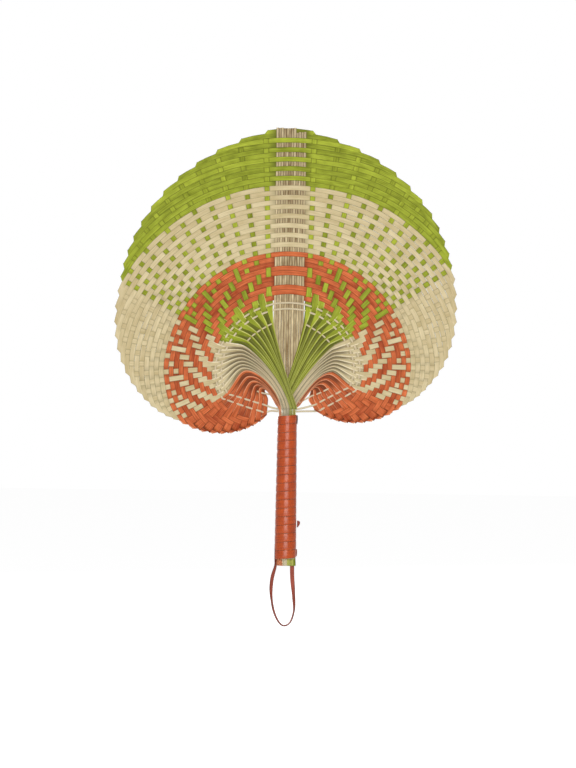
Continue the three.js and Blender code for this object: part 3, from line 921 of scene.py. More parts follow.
def finish_piece(bm, name, material, nodes=(), thickness=None):
    """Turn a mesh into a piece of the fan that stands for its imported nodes."""
    for face in bm.faces:
        face.smooth = True
    if thickness is None:
        bmesh.ops.recalc_face_normals(bm, faces=bm.faces[:])
    for edge in bm.edges:
        if edge.is_boundary:
            edge.smooth = False
    mesh = bpy.data.meshes.new(name)
    bm.to_mesh(mesh)
    bm.free()
    mesh.materials.append(material)
    piece = bpy.data.objects.new(name, mesh)
    bpy.context.scene.collection.objects.link(piece)
    if thickness is not None:
        wall = piece.modifiers.new("leaf thickness", "SOLIDIFY")
        wall.thickness = thickness
        wall.offset = 0.0
    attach(piece, BODY)
    if nodes:
        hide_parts(*nodes)


def make_piece(name, rings, seed, material, slot, nodes=(), thickness=None, **strip):
    """Piece of the fan that is one strip."""
    bm = new_piece_mesh()
    lay_strip(bm, rings, seed, **strip)
    finish_piece(bm, name, material, nodes, thickness)


# Materials

# Dark brown that the painted shade goes towards, and how far it goes where a strip lies deep
PAINTED_SHADE_COLOUR = (0.035, 0.022, 0.008, 1.0)
HOLLOW_DEPTH = 0.72
# Sockets of the mix node that take and give colours
MIX_A = 6
MIX_B = 7
MIX_COLOUR = 2
# Noise of the leaf and the twine: its scale along and across the fibres, and its detail
STREAK_NOISE = ((45.0, 4.2, 1.0), 5.0)
FINE_NOISE = ((160.0, 11.0, 1.0), 3.0)
BLOTCH_NOISE = ((95.0, 0.35, 1.0), 2.0)
FUZZ_NOISE = ((900.0, 6.0, 1.0), 3.0)
# Ranges of values and what they become: lowest, highest, new lowest and new highest
MARK_RANGE = (0.39, 0.61, 0.0, 1.0)
LINE_RANGE = (0.56, 0.72, 0.0, 1.0)
EDGE_LINE_RANGE = (0.35, 0.65, 0.55, 1.0)
# Painted shade across a strip in the neck, from its tucked edge to its front edge
TUCKED_RANGE = (-0.6, 0.8, 0.15, 0.0)
LEAF_ROUGHNESS = (0.3, 0.7, 0.68, 0.46)
STRAND_RANGE = (0.05, 0.6, 0.15, 1.0)
FUZZ_RANGE = (0.3, 0.7, 0.7, 1.0)
TWINE_ROUGHNESS = (0.3, 0.7, 0.75, 0.9)
# What the streaks count for beside the blotches, and both beside the tone of the strip
STREAK_SHARE = 0.55
MARK_SHARE = 0.55
FINE_HEIGHT = 0.5
# How much wider the edges are in the neck: the wide pale front band is partly cut edge and partly painted
# highlight on the slanted strips, and the back band is painted shade
NECK_EDGE_WIDTH = 4.5
LEAF_RELIEF = 0.12 * MM
TWINE_RELIEF = 0.15 * MM
TWINE_BUMP = 0.8
TWINE_SPECULAR = 0.2
TWINE_STRANDS = 2200.0


def add_node(tree, kind, **values):
    node = tree.nodes.new(kind)
    for key, value in values.items():
        setattr(node, key, value)
    return node


def map_range(tree, source, low, high, to_low, to_high):
    """Node that moves a value from one range to another."""
    node = add_node(tree, "ShaderNodeMapRange")
    for socket, value in (("From Min", low), ("From Max", high), ("To Min", to_low), ("To Max", to_high)):
        node.inputs[socket].default_value = value
    tree.links.new(source, node.inputs["Value"])
    return node.outputs["Result"]


def stretched_noise(tree, vector, scale, detail):
    """Noise drawn out along the fibres."""
    mapping = add_node(tree, "ShaderNodeMapping")
    mapping.inputs["Scale"].default_value = scale
    tree.links.new(vector, mapping.inputs["Vector"])
    texture = add_node(tree, "ShaderNodeTexNoise")
    texture.inputs["Scale"].default_value = 1.0
    texture.inputs["Detail"].default_value = detail
    tree.links.new(mapping.outputs["Vector"], texture.inputs["Vector"])
    return texture.outputs["Fac"]


def math_node(tree, operation, first, second):
    node = add_node(tree, "ShaderNodeMath", operation=operation)
    for socket, value in zip(node.inputs, (first, second)):
        if isinstance(value, (int, float)):
            socket.default_value = value
        else:
            tree.links.new(value, socket)
    return node.outputs["Value"]


def mix_colour(tree, factor, first, second):
    node = add_node(tree, "ShaderNodeMix", data_type="RGBA")
    sockets = (node.inputs[0], node.inputs[MIX_A], node.inputs[MIX_B])
    for socket, value in zip(sockets, (factor, first, second)):
        if isinstance(value, (float, tuple)):
            socket.default_value = value
        else:
            tree.links.new(value, socket)
    return node.outputs[MIX_COLOUR]


def weigh(tree, first, second, share):
    """Sum of two values, the first with its share and the second with the rest."""
    return math_node(tree, "ADD", math_node(tree, "MULTIPLY", first, share),
                     math_node(tree, "MULTIPLY", second, 1.0 - share))


def add_relief(tree, height, strength, distance):
    """Bump on the shader's surface."""
    relief = add_node(tree, "ShaderNodeBump")
    relief.inputs["Strength"].default_value = strength
    relief.inputs["Distance"].default_value = distance
    tree.links.new(height, relief.inputs["Height"])
    tree.links.new(relief.outputs["Normal"], tree.nodes["Principled BSDF"].inputs["Normal"])


def leaf_group():
    """Split palm leaf: long streaks, blotches of dye, a tone for each strip and its pale cut edges, with
    painted shade along its edges, on its tucked side and where it lies deep.
    """
    name = "split palm leaf"
    if name in bpy.data.node_groups:
        return bpy.data.node_groups[name]
    group = bpy.data.node_groups.new(name, "ShaderNodeTree")
    for socket in ("Leaf", "Shade", "Edge"):
        group.interface.new_socket(socket, in_out="INPUT", socket_type="NodeSocketColor")
    for socket in ("Streaks", "Edge Width", "Gap Shade Depth"):
        group.interface.new_socket(socket, in_out="INPUT", socket_type="NodeSocketFloat")
    group.interface.new_socket("Color", in_out="OUTPUT", socket_type="NodeSocketColor")
    for socket in ("Roughness", "Height"):
        group.interface.new_socket(socket, in_out="OUTPUT", socket_type="NodeSocketFloat")
    given = add_node(group, "NodeGroupInput").outputs
    result = add_node(group, "NodeGroupOutput").inputs
    fibre = add_node(group, "ShaderNodeUVMap", uv_map="fibre").outputs["UV"]
    tone = add_node(group, "ShaderNodeAttribute", attribute_name="tone").outputs["Fac"]
    streaks = stretched_noise(group, fibre, *STREAK_NOISE)
    fine = stretched_noise(group, fibre, *FINE_NOISE)
    blotches = stretched_noise(group, fibre, *BLOTCH_NOISE)
    marks = map_range(group, weigh(group, streaks, blotches, STREAK_SHARE), *MARK_RANGE)
    toned = weigh(group, marks, tone, MARK_SHARE)
    lines = math_node(group, "MULTIPLY", map_range(group, fine, *LINE_RANGE), given["Streaks"])
    body = mix_colour(group, toned, given["Shade"], given["Leaf"])
    lined = mix_colour(group, lines, body, given["Shade"])
    across = add_node(group, "ShaderNodeSeparateXYZ")
    group.links.new(fibre, across.inputs["Vector"])
    out = math_node(group, "ABSOLUTE", across.outputs["Y"], 0.0)
    pale = add_node(group, "ShaderNodeAttribute", attribute_name="pale").outputs["Fac"]
    sunk = add_node(group, "ShaderNodeAttribute", attribute_name="sunk").outputs["Fac"]
    in_neck = math_node(group, "ABSOLUTE", pale, 0.0)
    widened = map_range(group, in_neck, 0.0, 1.0, 1.0, NECK_EDGE_WIDTH)
    edge_width = math_node(group, "MULTIPLY", given["Edge Width"], widened)
    inner = math_node(group, "SUBTRACT", 1.0, edge_width)
    edge = math_node(group, "GREATER_THAN", out, inner)
    # Band along both edges, broken by the streaks: the pale cut edge on the front side, painted shade and
    # dirt on the other
    edge_line = math_node(group, "MULTIPLY", edge, map_range(group, streaks, *EDGE_LINE_RANGE))
    # The front edge gets the pale cut edge colour, the tucked side painted shade
    frontness = math_node(group, "MULTIPLY", across.outputs["Y"], pale)
    tucked = map_range(group, frontness, *TUCKED_RANGE)
    # Colour of the painted shade and dirt in the gaps along the strips' edges
    gap_shade = mix_colour(group, given["Gap Shade Depth"], given["Shade"], PAINTED_SHADE_COLOUR)
    hidden = math_node(group, "MULTIPLY", tucked, in_neck)
    shaded = mix_colour(group, hidden, lined, gap_shade)
    front = math_node(group, "GREATER_THAN", frontness, 0.0)
    edge_colour = mix_colour(group, front, gap_shade, given["Edge"])
    edged = mix_colour(group, edge_line, shaded, edge_colour)
    # Painted shade where the strip lies deep, under crossings and in the bundle
    hollow = mix_colour(group, HOLLOW_DEPTH, given["Shade"], PAINTED_SHADE_COLOUR)
    group.links.new(mix_colour(group, sunk, edged, hollow), result["Color"])
    group.links.new(map_range(group, streaks, *LEAF_ROUGHNESS), result["Roughness"])
    fine_height = math_node(group, "MULTIPLY", fine, FINE_HEIGHT)
    group.links.new(math_node(group, "ADD", streaks, fine_height), result["Height"])
    return group


def leaf_material(name, leaf, shade, edge, streaks=0.45, edge_width=0.13, bump=0.4, coat=0.0, gap_shade=0.6,
                  specular=0.14):
    """Material of split leaf in its own colours."""
    material = bpy.data.materials.new(name)
    material.use_nodes = True
    tree = material.node_tree
    shader = tree.nodes["Principled BSDF"]
    shader.inputs["Specular IOR Level"].default_value = specular
    shader.inputs["Coat Weight"].default_value = coat
    shader.inputs["Coat Roughness"].default_value = COAT_ROUGHNESS
    shader.inputs["Coat IOR"].default_value = COAT_IOR
    fibre = add_node(tree, "ShaderNodeGroup", node_tree=leaf_group())
    for socket, colour in (("Leaf", leaf), ("Shade", shade), ("Edge", edge)):
        fibre.inputs[socket].default_value = (*colour, 1.0)
    fibre.inputs["Streaks"].default_value = streaks
    fibre.inputs["Edge Width"].default_value = edge_width
    fibre.inputs["Gap Shade Depth"].default_value = gap_shade
    tree.links.new(fibre.outputs["Color"], shader.inputs["Base Color"])
    tree.links.new(fibre.outputs["Roughness"], shader.inputs["Roughness"])
    add_relief(tree, fibre.outputs["Height"], bump, LEAF_RELIEF)
    return material


def twine_material(light, dark):
    """Twisted fibre cord: slanting strands with painted shade in the hollows between them."""
    material = bpy.data.materials.new("twisted fibre")
    material.use_nodes = True
    tree = material.node_tree
    shader = tree.nodes["Principled BSDF"]
    shader.inputs["Specular IOR Level"].default_value = TWINE_SPECULAR
    fibre = add_node(tree, "ShaderNodeUVMap", uv_map="fibre").outputs["UV"]
    split = add_node(tree, "ShaderNodeSeparateXYZ")
    tree.links.new(fibre, split.inputs["Vector"])
    turns = math_node(tree, "MULTIPLY", split.outputs["X"], TWINE_STRANDS)
    phase = math_node(tree, "ADD", turns, math_node(tree, "MULTIPLY", split.outputs["Y"], 2 * math.pi))
    strand = math_node(tree, "ABSOLUTE", math_node(tree, "SINE", phase, 0.0), 0.0)
    fuzz = stretched_noise(tree, fibre, *FUZZ_NOISE)
    # Painted shade in the hollows between the strands, broken by fuzz
    shade = math_node(tree, "MULTIPLY", map_range(tree, strand, *STRAND_RANGE),
                      map_range(tree, fuzz, *FUZZ_RANGE))
    tree.links.new(mix_colour(tree, shade, (*dark, 1.0), (*light, 1.0)), shader.inputs["Base Color"])
    tree.links.new(map_range(tree, fuzz, *TWINE_ROUGHNESS), shader.inputs["Roughness"])
    add_relief(tree, strand, TWINE_BUMP, TWINE_RELIEF)
    return material


# Operators

class FAN_OT_weave_splints(bpy.types.Operator):
    """Weave the green, natural and orange splints of the blade."""

    bl_idname = "fan.weave_splints"
    bl_label = "Weave splints"

    def execute(self, context):
        weave = context.scene.fan_weave
        colours = context.scene.fan_colours
        plan = WeavePlan(weave)
        materials = {}
        for colour, *_ in BANDS:
            materials[colour] = leaf_material(f"{colour} leaf", getattr(colours, colour),
                                              getattr(colours, f"{colour}_shade"),
                                              getattr(colours, f"{colour}_edge"),
                                              edge_width=LEAF_EDGES[colour][0], gap_shade=LEAF_EDGES[colour][1])
        for index, (node, colour, _) in enumerate(SPLINTS):
            rings, pales, sunks = zip(*plan.splint_rings(index))
            make_piece(f"leaf_{node}", rings, index, materials[colour], f"{colour}_splint", [node],
                       weave.splint_thickness, pales=pales, sunks=sunks)
        return {"FINISHED"}


class FAN_OT_lay_rib(bpy.types.Operator):
    """Lay the slats of the rib side by side."""

    bl_idname = "fan.lay_rib"
    bl_label = "Lay rib"

    def execute(self, context):
        colours = context.scene.fan_colours
        stalk = leaf_material("split stalk", colours.stalk, colours.stalk_shade, colours.stalk_shade,
                              streaks=0.8, edge_width=0.0, bump=0.6)
        for slat in range(SLAT_COUNT):
            place = slat - (SLAT_COUNT - 1) / 2
            chance = random.Random(SEEDS["slat cut"] + slat)
            top = RIB_TOP - chance.random() * SLAT_TOP_SPREAD
            if slat >= SLAT_COUNT - SHORT_SLATS:
                top -= SHORT_SLAT_DROP * mix(SHORT_SLAT_LEAST, 1.0, chance.random())
            stations = [(BUTT_HEIGHT, SLAT_FOOT_PITCH, SLAT_FOOT_WIDTH),
                        (BINDING_TOP, SLAT_FOOT_PITCH, SLAT_FOOT_WIDTH),
                        (RIB_NARROW, SLAT_NARROW_PITCH, SLAT_NARROW_WIDTH)]
            count = int((top - RIB_SHOULDER) / SLAT_STEP)
            for step in range(count + 1):
                stations.append((mix(RIB_SHOULDER, top, step / count), SLAT_PITCH, SLAT_WIDTH))
            rings = []
            for height, pitch, width in stations:
                sway = SLAT_WANDER * self.slat_noise(slat, height, SLAT_SWAY_NOISE)
                wide = width / 2 * (1.0 + SLAT_UNEVENNESS * self.slat_noise(slat, height, SLAT_WIDTH_NOISE))
                rings.append([Vector((place * pitch + sway + x * wide, y * SLAT_THICKNESS / 2, height))
                              for x, y in SLAT_PROFILE])
            # Darker towards the top, with painted shade at the slats' sides added across the profile
            sunks = [SLAT_SUNK_HIGH * clamp((height - RIB_SHOULDER) / (RIB_TOP - RIB_SHOULDER))
                     for height, *_ in stations]
            number = f"{slat + 1:02d}"
            seed = SEEDS["slat"] + slat * SLAT_SEED_STEP
            make_piece(f"slat_{number}", rings, seed, stalk, "rib_slat", [f"rib_slat_{number}"], closed=True,
                       sunks=sunks, shade=SLAT_TONES[slat], across_sunks=SLAT_SUNKS, span=SLAT_SPAN)
        return {"FINISHED"}

    def slat_noise(self, slat, height, steps):
        across, along, layer = steps
        return noise.noise(Vector((slat * across, height * along, layer)))


class FAN_OT_bundle_tails(bpy.types.Operator):
    """Bundle the cut lower ends of the splints in the handle."""

    bl_idname = "fan.bundle_tails"
    bl_label = "Bundle tails"

    def execute(self, context):
        weave = context.scene.fan_weave
        splay = context.scene.fan_handle.tail_splay
        for side, face in ((LEFT, "front"), (RIGHT, "back")):
            first = 0
            for colour, count, *_ in BANDS:
                bm = new_piece_mesh()
                for index in range(first, first + count):
                    self.lay_tail(bm, index, side, splay)
                finish_piece(bm, f"cut_{colour}_{face}", bpy.data.materials[f"{colour} leaf"],
                             [f"{colour}_tails_{face}"],
                             weave.splint_thickness * TAIL_THICKENING)
                first += count
        return {"FINISHED"}

    def lay_tail(self, bm, index, side, splay):
        """One tail, edge-on, with its own cut length and lean."""
        chance = random.Random(SEEDS["tail cut"] + index * 2 + side)
        end = BUTT_HEIGHT + chance.random() * TAIL_CUT_SPREAD
        lean = Vector((*((chance.random() - 0.5) * most for most in TAIL_LEAN), 0.0))
        turn = math.radians(TAIL_TURN) if side == LEFT else 0.0
        rings = []
        at_binding, half_way = TAIL_SPREADS
        for height, spread in ((TAIL_TOP, 0.0), (0.0, 0.0), (BINDING_BOTTOM, at_binding),
                               ((BINDING_BOTTOM + end) / 2, half_way), (end, 1.0)):
            across = -side * (BUNDLE_HALF - index * LEG_PITCH) * flare(height) * TAIL_SQUEEZE
            if side == LEFT:
                across = mix(across, band_place(index, TAIL_PLACES), spread)
            centre = Vector((across * mix(1.0, splay, spread), side * LEG_DEPTH * flare(height), height))
            way = Vector((math.sin(turn * spread), math.cos(turn * spread), 0.0))
            half = way * (LEG_WIDTH / 2 * flare(height))
            centre += lean * spread
            rings.append([centre - half, centre, centre + half])
        # Pale front edges with painted shade on the back edges, and painted shade that differs from tail to
        # tail
        lay_strip(bm, rings, SEEDS["tail"] + index * 2 + side,
                  pales=[TAIL_PALE[SPLINTS[index][1]]] * len(rings),
                  sunks=[TAIL_SUNKS[index % len(TAIL_SUNKS)]] * len(rings))


def wrap_radius(turn, height, lift):
    """Distance from the handle's axis to the binding, on its rounded outline."""
    wide = WRAP_WIDE * flare(height) + BINDING_CLEARANCE + lift
    deep = WRAP_DEEP * flare(height) + BINDING_CLEARANCE + lift
    across = abs(math.cos(turn) / wide) ** BINDING_ROUNDNESS
    through = abs(math.sin(turn) / deep) ** BINDING_ROUNDNESS
    return (across + through) ** (-1.0 / BINDING_ROUNDNESS)


def wrap_point(turn, height, lift):
    radius = wrap_radius(turn, height, lift)
    return Vector((radius * math.cos(turn), radius * math.sin(turn), height))


def full_turn(steps):
    return [2 * math.pi * step / steps for step in range(steps)]


class FAN_OT_wind_grip(bpy.types.Operator):
    """Wind the ribbon round the handle, with its tab, its loose ends and the leaf inside both its ends."""

    bl_idname = "fan.wind_grip"
    bl_label = "Wind grip"

    def execute(self, context):
        handle = context.scene.fan_handle
        colours = context.scene.fan_colours
        # The ribbon's edges get painted shade along the seams between its turns
        ribbon = leaf_material("wound ribbon", colours.binding, colours.binding_shade, colours.binding_shade,
                               streaks=0.3, edge_width=0.07, bump=0.12, coat=1.0, gap_shade=0.8, specular=0.0)
        aged = leaf_material("aged leaf", colours.loop, colours.loop_shade, colours.loop_shade,
                             streaks=0.5, edge_width=0.1)
        thickness = handle.binding_thickness
        make_piece("grip_ribbon", self.winding(handle), SEEDS["ribbon"], ribbon, "grip_binding",
                   ["grip_binding"], thickness)
        make_piece("ribbon_tab", self.tab(), SEEDS["tab"], aged, "plain_splint", ["binding_tab"],
                   closed=True)
        for place, (top, foot) in enumerate(LOOSE_ENDS):
            # Each loose end gets its painted shade
            rings = self.loose_end(top, foot)
            make_piece(f"ribbon_end_{place + 1}", rings, SEEDS["loose end"] + place, aged, "plain_splint", (),
                       thickness, sunks=[LOOSE_END_SUNKS[place]] * len(rings))
        leaf = bpy.data.materials["natural leaf"]
        # Leaf packed in the binding's ends, darkened with painted shade
        for place, (top, foot) in enumerate(PACKING):
            rings = [[wrap_point(turn, height, -PACKING_INSET) for turn in full_turn(BINDING_STEPS)]
                     for height in (foot, top)]
            make_piece(f"leaf_packing_{place + 1}", rings, SEEDS["packing"] + place, leaf, "natural_splint",
                       closed=True, sunks=[PACKING_SUNK] * len(rings))
        return {"FINISHED"}

    def winding(self, handle):
        """Rings across the ribbon along its turns."""
        rings = []
        half = (BINDING_PITCH - BINDING_SEAM) / 2
        for step in range(int(BINDING_TURNS * BINDING_STEPS) + 1):
            turn = math.radians(BINDING_START + 360.0 * step / BINDING_STEPS)
            rise = BINDING_BOTTOM + BINDING_PITCH / 2 + BINDING_PITCH * step / BINDING_STEPS
            height = rise - BINDING_LEVEL * math.cos(turn)
            rings.append([wrap_point(turn, height + across * half, handle.binding_crown * crown)
                          for across, crown in BINDING_PROFILE])
        return rings

    def tab(self):
        """Folded end of the ribbon, round at the top and drawn to a tip below."""
        rings = []
        for step in range(TAB_STEPS + 1):
            share = step / TAB_STEPS
            swell = 0.0
            if 0.0 < share < 1.0:
                swell = math.sin(math.pi * share ** TAB_FULLEST) ** TAB_FULLNESS
            half = TAB_WIDTH / 2 * mix(TAB_END_WIDTH, 1.0, swell)
            deep = TAB_DEPTH * mix(TAB_END_DEPTH, 1.0, swell)
            centre = Vector((TAB_ROOT + TAB_GAP + half, 0.0, TAB_TOP - TAB_LENGTH * share))
            rings.append([centre + Vector((half * math.cos(turn), deep * math.sin(turn), 0.0))
                          for turn in full_turn(TAB_SIDES)])
        return rings

    def loose_end(self, top, foot):
        """Short end of the ribbon that lies along the right of the grip."""
        rings = []
        for step in range(LOOSE_END_STEPS + 1):
            share = step / LOOSE_END_STEPS
            lift = LOOSE_END_LIFT * (1.0 - LOOSE_END_SETTLE * abs(2.0 * share - 1.0))
            centre = wrap_point(0.0, mix(top, foot, share), lift)
            half = LOOSE_END_WAY * (LOOSE_END_WIDTH / 2 * (1.0 - LOOSE_END_TAPER * share))
            rings.append([centre - half, centre + LOOSE_END_BOW, centre + half])
        return rings


def smooth_route(points, substeps):
    """Points of a smooth curve through the given ones."""
    route = []
    last = len(points) - 1
    for index in range(last):
        before = points[max(0, index - 1)]
        start = points[index]
        end = points[index + 1]
        after = points[min(last, index + 2)]
        for step in range(substeps):
            route.append(hermite(start, (end - before) / 2, end, (after - start) / 2, step / substeps))
    route.append(points[last])
    return route


def route_tangents(route):
    """Heading of a route at each of its points."""
    afters = route[1:] + route[-1:]
    befores = route[:1] + route[:-1]
    return [(after - before).normalized() for after, before in zip(afters, befores)]


def cord_rings(route, radius):
    """Rings of points round a cord's route."""
    rings = []
    for point, tangent in zip(route, route_tangents(route)):
        level = tangent.cross(BACK).normalized()
        deep = tangent.cross(level)
        rings.append([point + (level * math.cos(turn) + deep * math.sin(turn)) * radius
                      for turn in full_turn(TWINE_SIDES)])
    return rings


def passing(place, over, weave, half):
    """Middle of a cord where it passes over or under a leg."""
    return place + (FRONT if over else BACK) * (half + weave.splint_thickness / 2 + RIB_CLEARANCE)


class FAN_OT_run_twine(bpy.types.Operator):
    """Run the twine and the thin threads through the splints above the neck."""

    bl_idname = "fan.run_twine"
    bl_label = "Run twine"

    def execute(self, context):
        weave = context.scene.fan_weave
        colours = context.scene.fan_colours
        plan = WeavePlan(weave)
        cord = twine_material(colours.twine, colours.twine_shade)
        for (node, inset, turn), ties in zip(TWINE_INSETS, TWINE_TIES):
            radius = weave.twine_diameter / 2
            route = self.twine_route(plan, WEAVE_INNER_RADIUS - inset, turn, radius, ties)
            make_piece(f"{node}_cord", cord_rings(route, radius), SEEDS["twine"] + turn, cord, "twine",
                       [node], closed=True)
        radius = weave.thread_diameter / 2
        for side, name in ((LEFT, "left"), (RIGHT, "right")):
            thread = cord_rings(self.thread_route(plan, side, radius), radius)
            make_piece(f"thread_{name}", thread, SEEDS["thread"], cord, "twine", closed=True)
            thread = cord_rings(self.lobe_thread(plan, side, radius), radius)
            make_piece(f"lobe_thread_{name}", thread, SEEDS["lobe thread"], cord, "twine", closed=True)
        return {"FINISHED"}

    def twine_route(self, plan, radius, turn, half, ties):
        """Points of a cord over and under the legs, across the rib and in to the neck at both ends."""
        halves = []
        for side in (LEFT, RIGHT):
            points = []
            for index in range(SPLINT_COUNT):
                place = plan.leg_at_radius(index, side, radius)
                if index >= ORANGE_START:
                    share = (index - ORANGE_START) / (SPLINT_COUNT - 1 - ORANGE_START)
                    place = plan.leg_past_gather(index, side, mix(*LOBE_TWINE[turn], share))
                points.append(passing(place, (index + turn) % 2 == 0, plan.weave, half))
            halves.append(points + [Vector((side * x, 0.0, z)) for x, z in ties])
        rib = Vector((0.0, -(SLAT_THICKNESS / 2 + half + RIB_CLEARANCE), BLADE_CENTRE + radius))
        rib_half = RIB_EDGE - SLAT_PITCH
        rib_points = [rib + Vector((x, 0.0, -abs(x) * TWINE_SAG)) for x in (-rib_half, 0.0, rib_half)]
        return smooth_route(halves[0][::-1] + rib_points + halves[1], TWINE_SUBSTEPS)

    def thread_route(self, plan, side, half):
        """Points of the thread over and under the first legs."""
        points = [passing(plan.leg_at_radius(index, side, THREAD_RADIUS), index % 2, plan.weave, half)
                  for index in range(THREAD_LEGS)]
        return smooth_route(points, TWINE_SUBSTEPS)

    def lobe_thread(self, plan, side, half):
        """Points of the thread over and under the curled legs and across to the neck."""
        first, share = LOBE_THREAD[side]
        points = [passing(curve_point(plan.courses[side][index][0], share), index % 2, plan.weave, half)
                  for index in range(first, SPLINT_COUNT)]
        points += [Vector((x, 0.0, z)) for x, z in LOBE_THREAD_TIES[side]]
        return smooth_route(points, TWINE_SUBSTEPS)


class FAN_OT_bend_loop(bpy.types.Operator):
    """Bend the hanging loop below the butt."""

    bl_idname = "fan.bend_loop"
    bl_label = "Bend loop"

    def execute(self, context):
        handle = context.scene.fan_handle
        tails = [[Vector((LOOP_OFFSET + end * LOOP_TAIL_HALF, -LOOP_DEPTH, BUTT_HEIGHT + depth))
                  for depth in (LOOP_TUCK, LOOP_TUCK / 2, 0.0)] for end in (-1, 1)]
        bend = [Vector((LOOP_OFFSET + x * MM, -LOOP_DEPTH, BUTT_HEIGHT - drop * MM))
                for x, drop in LOOP_ROUTE]
        points = tails[0] + bend + tails[1][::-1]
        route = smooth_route(points, LOOP_STEPS // len(points))
        rings = []
        last = len(route) - 1
        for index, (point, tangent) in enumerate(zip(route, route_tangents(route))):
            level = Vector((-tangent.z, 0.0, tangent.x))
            turn = math.radians(self.turn_at(index / last))
            half = (level * math.cos(turn) + BACK * math.sin(turn)) * (handle.loop_width / 2)
            bow = (BACK * math.cos(turn) - level * math.sin(turn)) * -LOOP_BOW
            rings.append([point - half, point + bow, point + half])
        make_piece("hanging_loop", rings, SEEDS["loop"], bpy.data.materials["aged leaf"], "plain_splint",
                   ["hang_loop"], handle.loop_thickness)
        return {"FINISHED"}

    def turn_at(self, share):
        """How far the loop's splint is turned edge-on at a share of its length."""
        for (low, first), (high, second) in zip(LOOP_TURNS, LOOP_TURNS[1:]):
            if share <= high:
                return mix(first, second, ease((share - low) / (high - low)))
        return LOOP_TURNS[-1][1]


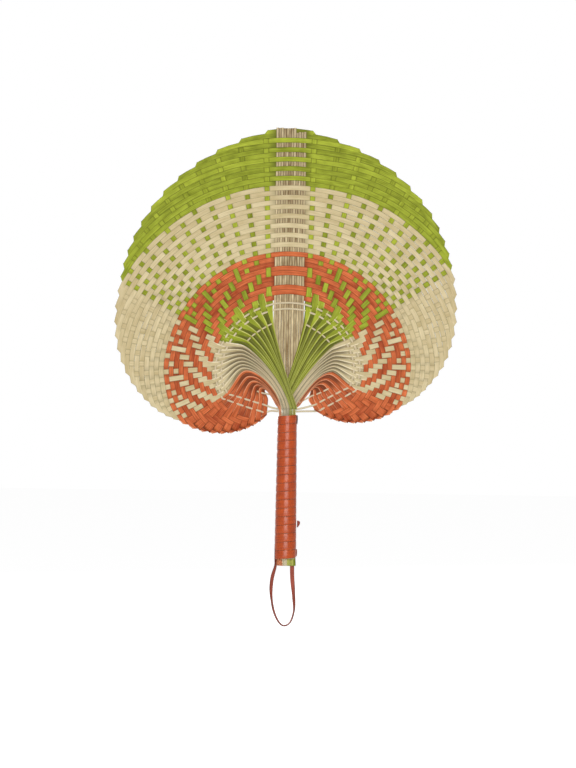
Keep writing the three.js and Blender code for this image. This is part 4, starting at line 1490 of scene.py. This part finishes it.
class FAN_OT_set_stage(bpy.types.Operator):
    """Set the camera, the lamps, the floor and the white surroundings."""

    bl_idname = "fan.set_stage"
    bl_label = "Set stage"

    def execute(self, context):
        stage = context.scene.fan_stage
        self.set_camera(context.scene, stage)
        self.set_lamps(context.scene, stage)
        self.set_floor(context.scene, stage)
        self.set_world(context.scene, stage)
        context.scene.view_settings.view_transform = "Standard"
        return {"FINISHED"}

    def set_camera(self, scene, stage):
        lens = bpy.data.cameras.new("front camera")
        lens.sensor_fit = "VERTICAL"
        lens.sensor_height = SENSOR_HEIGHT
        lens.lens = lens.sensor_height * stage.camera_distance / stage.frame_height
        lens.clip_end = CAMERA_REACH
        camera = bpy.data.objects.new("front camera", lens)
        camera.location = Vector(stage.target) + FRONT * stage.camera_distance
        camera.rotation_euler = (math.radians(90.0), -stage.camera_roll, 0.0)
        scene.collection.objects.link(camera)
        scene.camera = camera

    def set_lamps(self, scene, stage):
        for name, place, wide, high, share in LAMPS:
            lamp = bpy.data.lights.new(name, "AREA")
            lamp.shape = "RECTANGLE"
            lamp.size = wide
            lamp.size_y = high
            lamp.energy = stage.lamp_power * share
            holder = bpy.data.objects.new(name, lamp)
            holder.location = place
            aim = Vector(stage.target) - Vector(place)
            holder.rotation_euler = aim.to_track_quat("-Z", "Y").to_euler()
            scene.collection.objects.link(holder)

    def set_floor(self, scene, stage):
        bm = bmesh.new()
        bmesh.ops.create_grid(bm, x_segments=1, y_segments=1, size=FLOOR_SIZE)
        bmesh.ops.translate(bm, verts=bm.verts[:], vec=(0.0, 0.0, stage.floor_height))
        mesh = bpy.data.meshes.new("studio floor")
        bm.to_mesh(mesh)
        bm.free()
        material = bpy.data.materials.new("pale floor")
        material.use_nodes = True
        tree = material.node_tree
        tree.nodes.clear()
        diffuse = add_node(tree, "ShaderNodeBsdfDiffuse")
        diffuse.inputs["Color"].default_value = FLOOR_COLOUR
        glow = add_node(tree, "ShaderNodeEmission")
        seen = self.seen_rays(tree)
        tree.links.new(math_node(tree, "MULTIPLY", seen, FLOOR_GLOW), glow.inputs["Strength"])
        total = add_node(tree, "ShaderNodeAddShader")
        tree.links.new(diffuse.outputs["BSDF"], total.inputs[0])
        tree.links.new(glow.outputs["Emission"], total.inputs[1])
        output = add_node(tree, "ShaderNodeOutputMaterial")
        tree.links.new(total.outputs["Shader"], output.inputs["Surface"])
        mesh.materials.append(material)
        floor = bpy.data.objects.new("studio floor", mesh)
        scene.collection.objects.link(floor)

    def seen_rays(self, tree):
        """1 for rays that show the surroundings themselves, 0 for those that light the fan."""
        path = add_node(tree, "ShaderNodeLightPath").outputs
        seen = math_node(tree, "MAXIMUM", path["Is Camera Ray"], path["Is Glossy Ray"])
        return math_node(tree, "MAXIMUM", seen, path["Is Transmission Ray"])

    def set_world(self, scene, stage):
        world = bpy.data.worlds.new("white surroundings")
        world.use_nodes = True
        tree = world.node_tree
        background = tree.nodes["Background"]
        background.inputs["Color"].default_value = (1.0, 1.0, 1.0, 1.0)
        seen = self.seen_rays(tree)
        strength = map_range(tree, seen, 0.0, 1.0, stage.world_strength, 1.0)
        tree.links.new(strength, background.inputs["Strength"])
        scene.world = world


class FAN_PT_maker(bpy.types.Panel):
    """Steps and settings of the woven fan."""

    bl_label = "Palm fan"
    bl_space_type = "VIEW_3D"
    bl_region_type = "UI"
    bl_category = "Palm fan"

    def draw(self, context):
        for operator in OPERATORS:
            self.layout.operator(operator.bl_idname)
        for name, group in SETTINGS:
            box = self.layout.box()
            settings = getattr(context.scene, name)
            for key in group.__annotations__:
                box.prop(settings, key)


SETTINGS = (
    ("fan_weave", FanWeaveSettings),
    ("fan_handle", FanHandleSettings),
    ("fan_colours", FanColourSettings),
    ("fan_stage", FanStageSettings),
)
OPERATORS = (
    FAN_OT_set_stage,
    FAN_OT_weave_splints,
    FAN_OT_lay_rib,
    FAN_OT_bundle_tails,
    FAN_OT_wind_grip,
    FAN_OT_run_twine,
    FAN_OT_bend_loop,
)


def register():
    for name, group in SETTINGS:
        bpy.utils.register_class(group)
        setattr(bpy.types.Scene, name, PointerProperty(type=group))
    for operator in OPERATORS:
        bpy.utils.register_class(operator)
    bpy.utils.register_class(FAN_PT_maker)


def unregister():
    bpy.utils.unregister_class(FAN_PT_maker)
    for operator in reversed(OPERATORS):
        bpy.utils.unregister_class(operator)
    for name, group in reversed(SETTINGS):
        delattr(bpy.types.Scene, name)
        bpy.utils.unregister_class(group)


def main():
    register()
    bpy.ops.fan.set_stage()
    bpy.ops.fan.weave_splints()
    bpy.ops.fan.lay_rib()
    bpy.ops.fan.bundle_tails()
    bpy.ops.fan.wind_grip()
    bpy.ops.fan.run_twine()
    bpy.ops.fan.bend_loop()


if __name__ == "__main__":
    main()
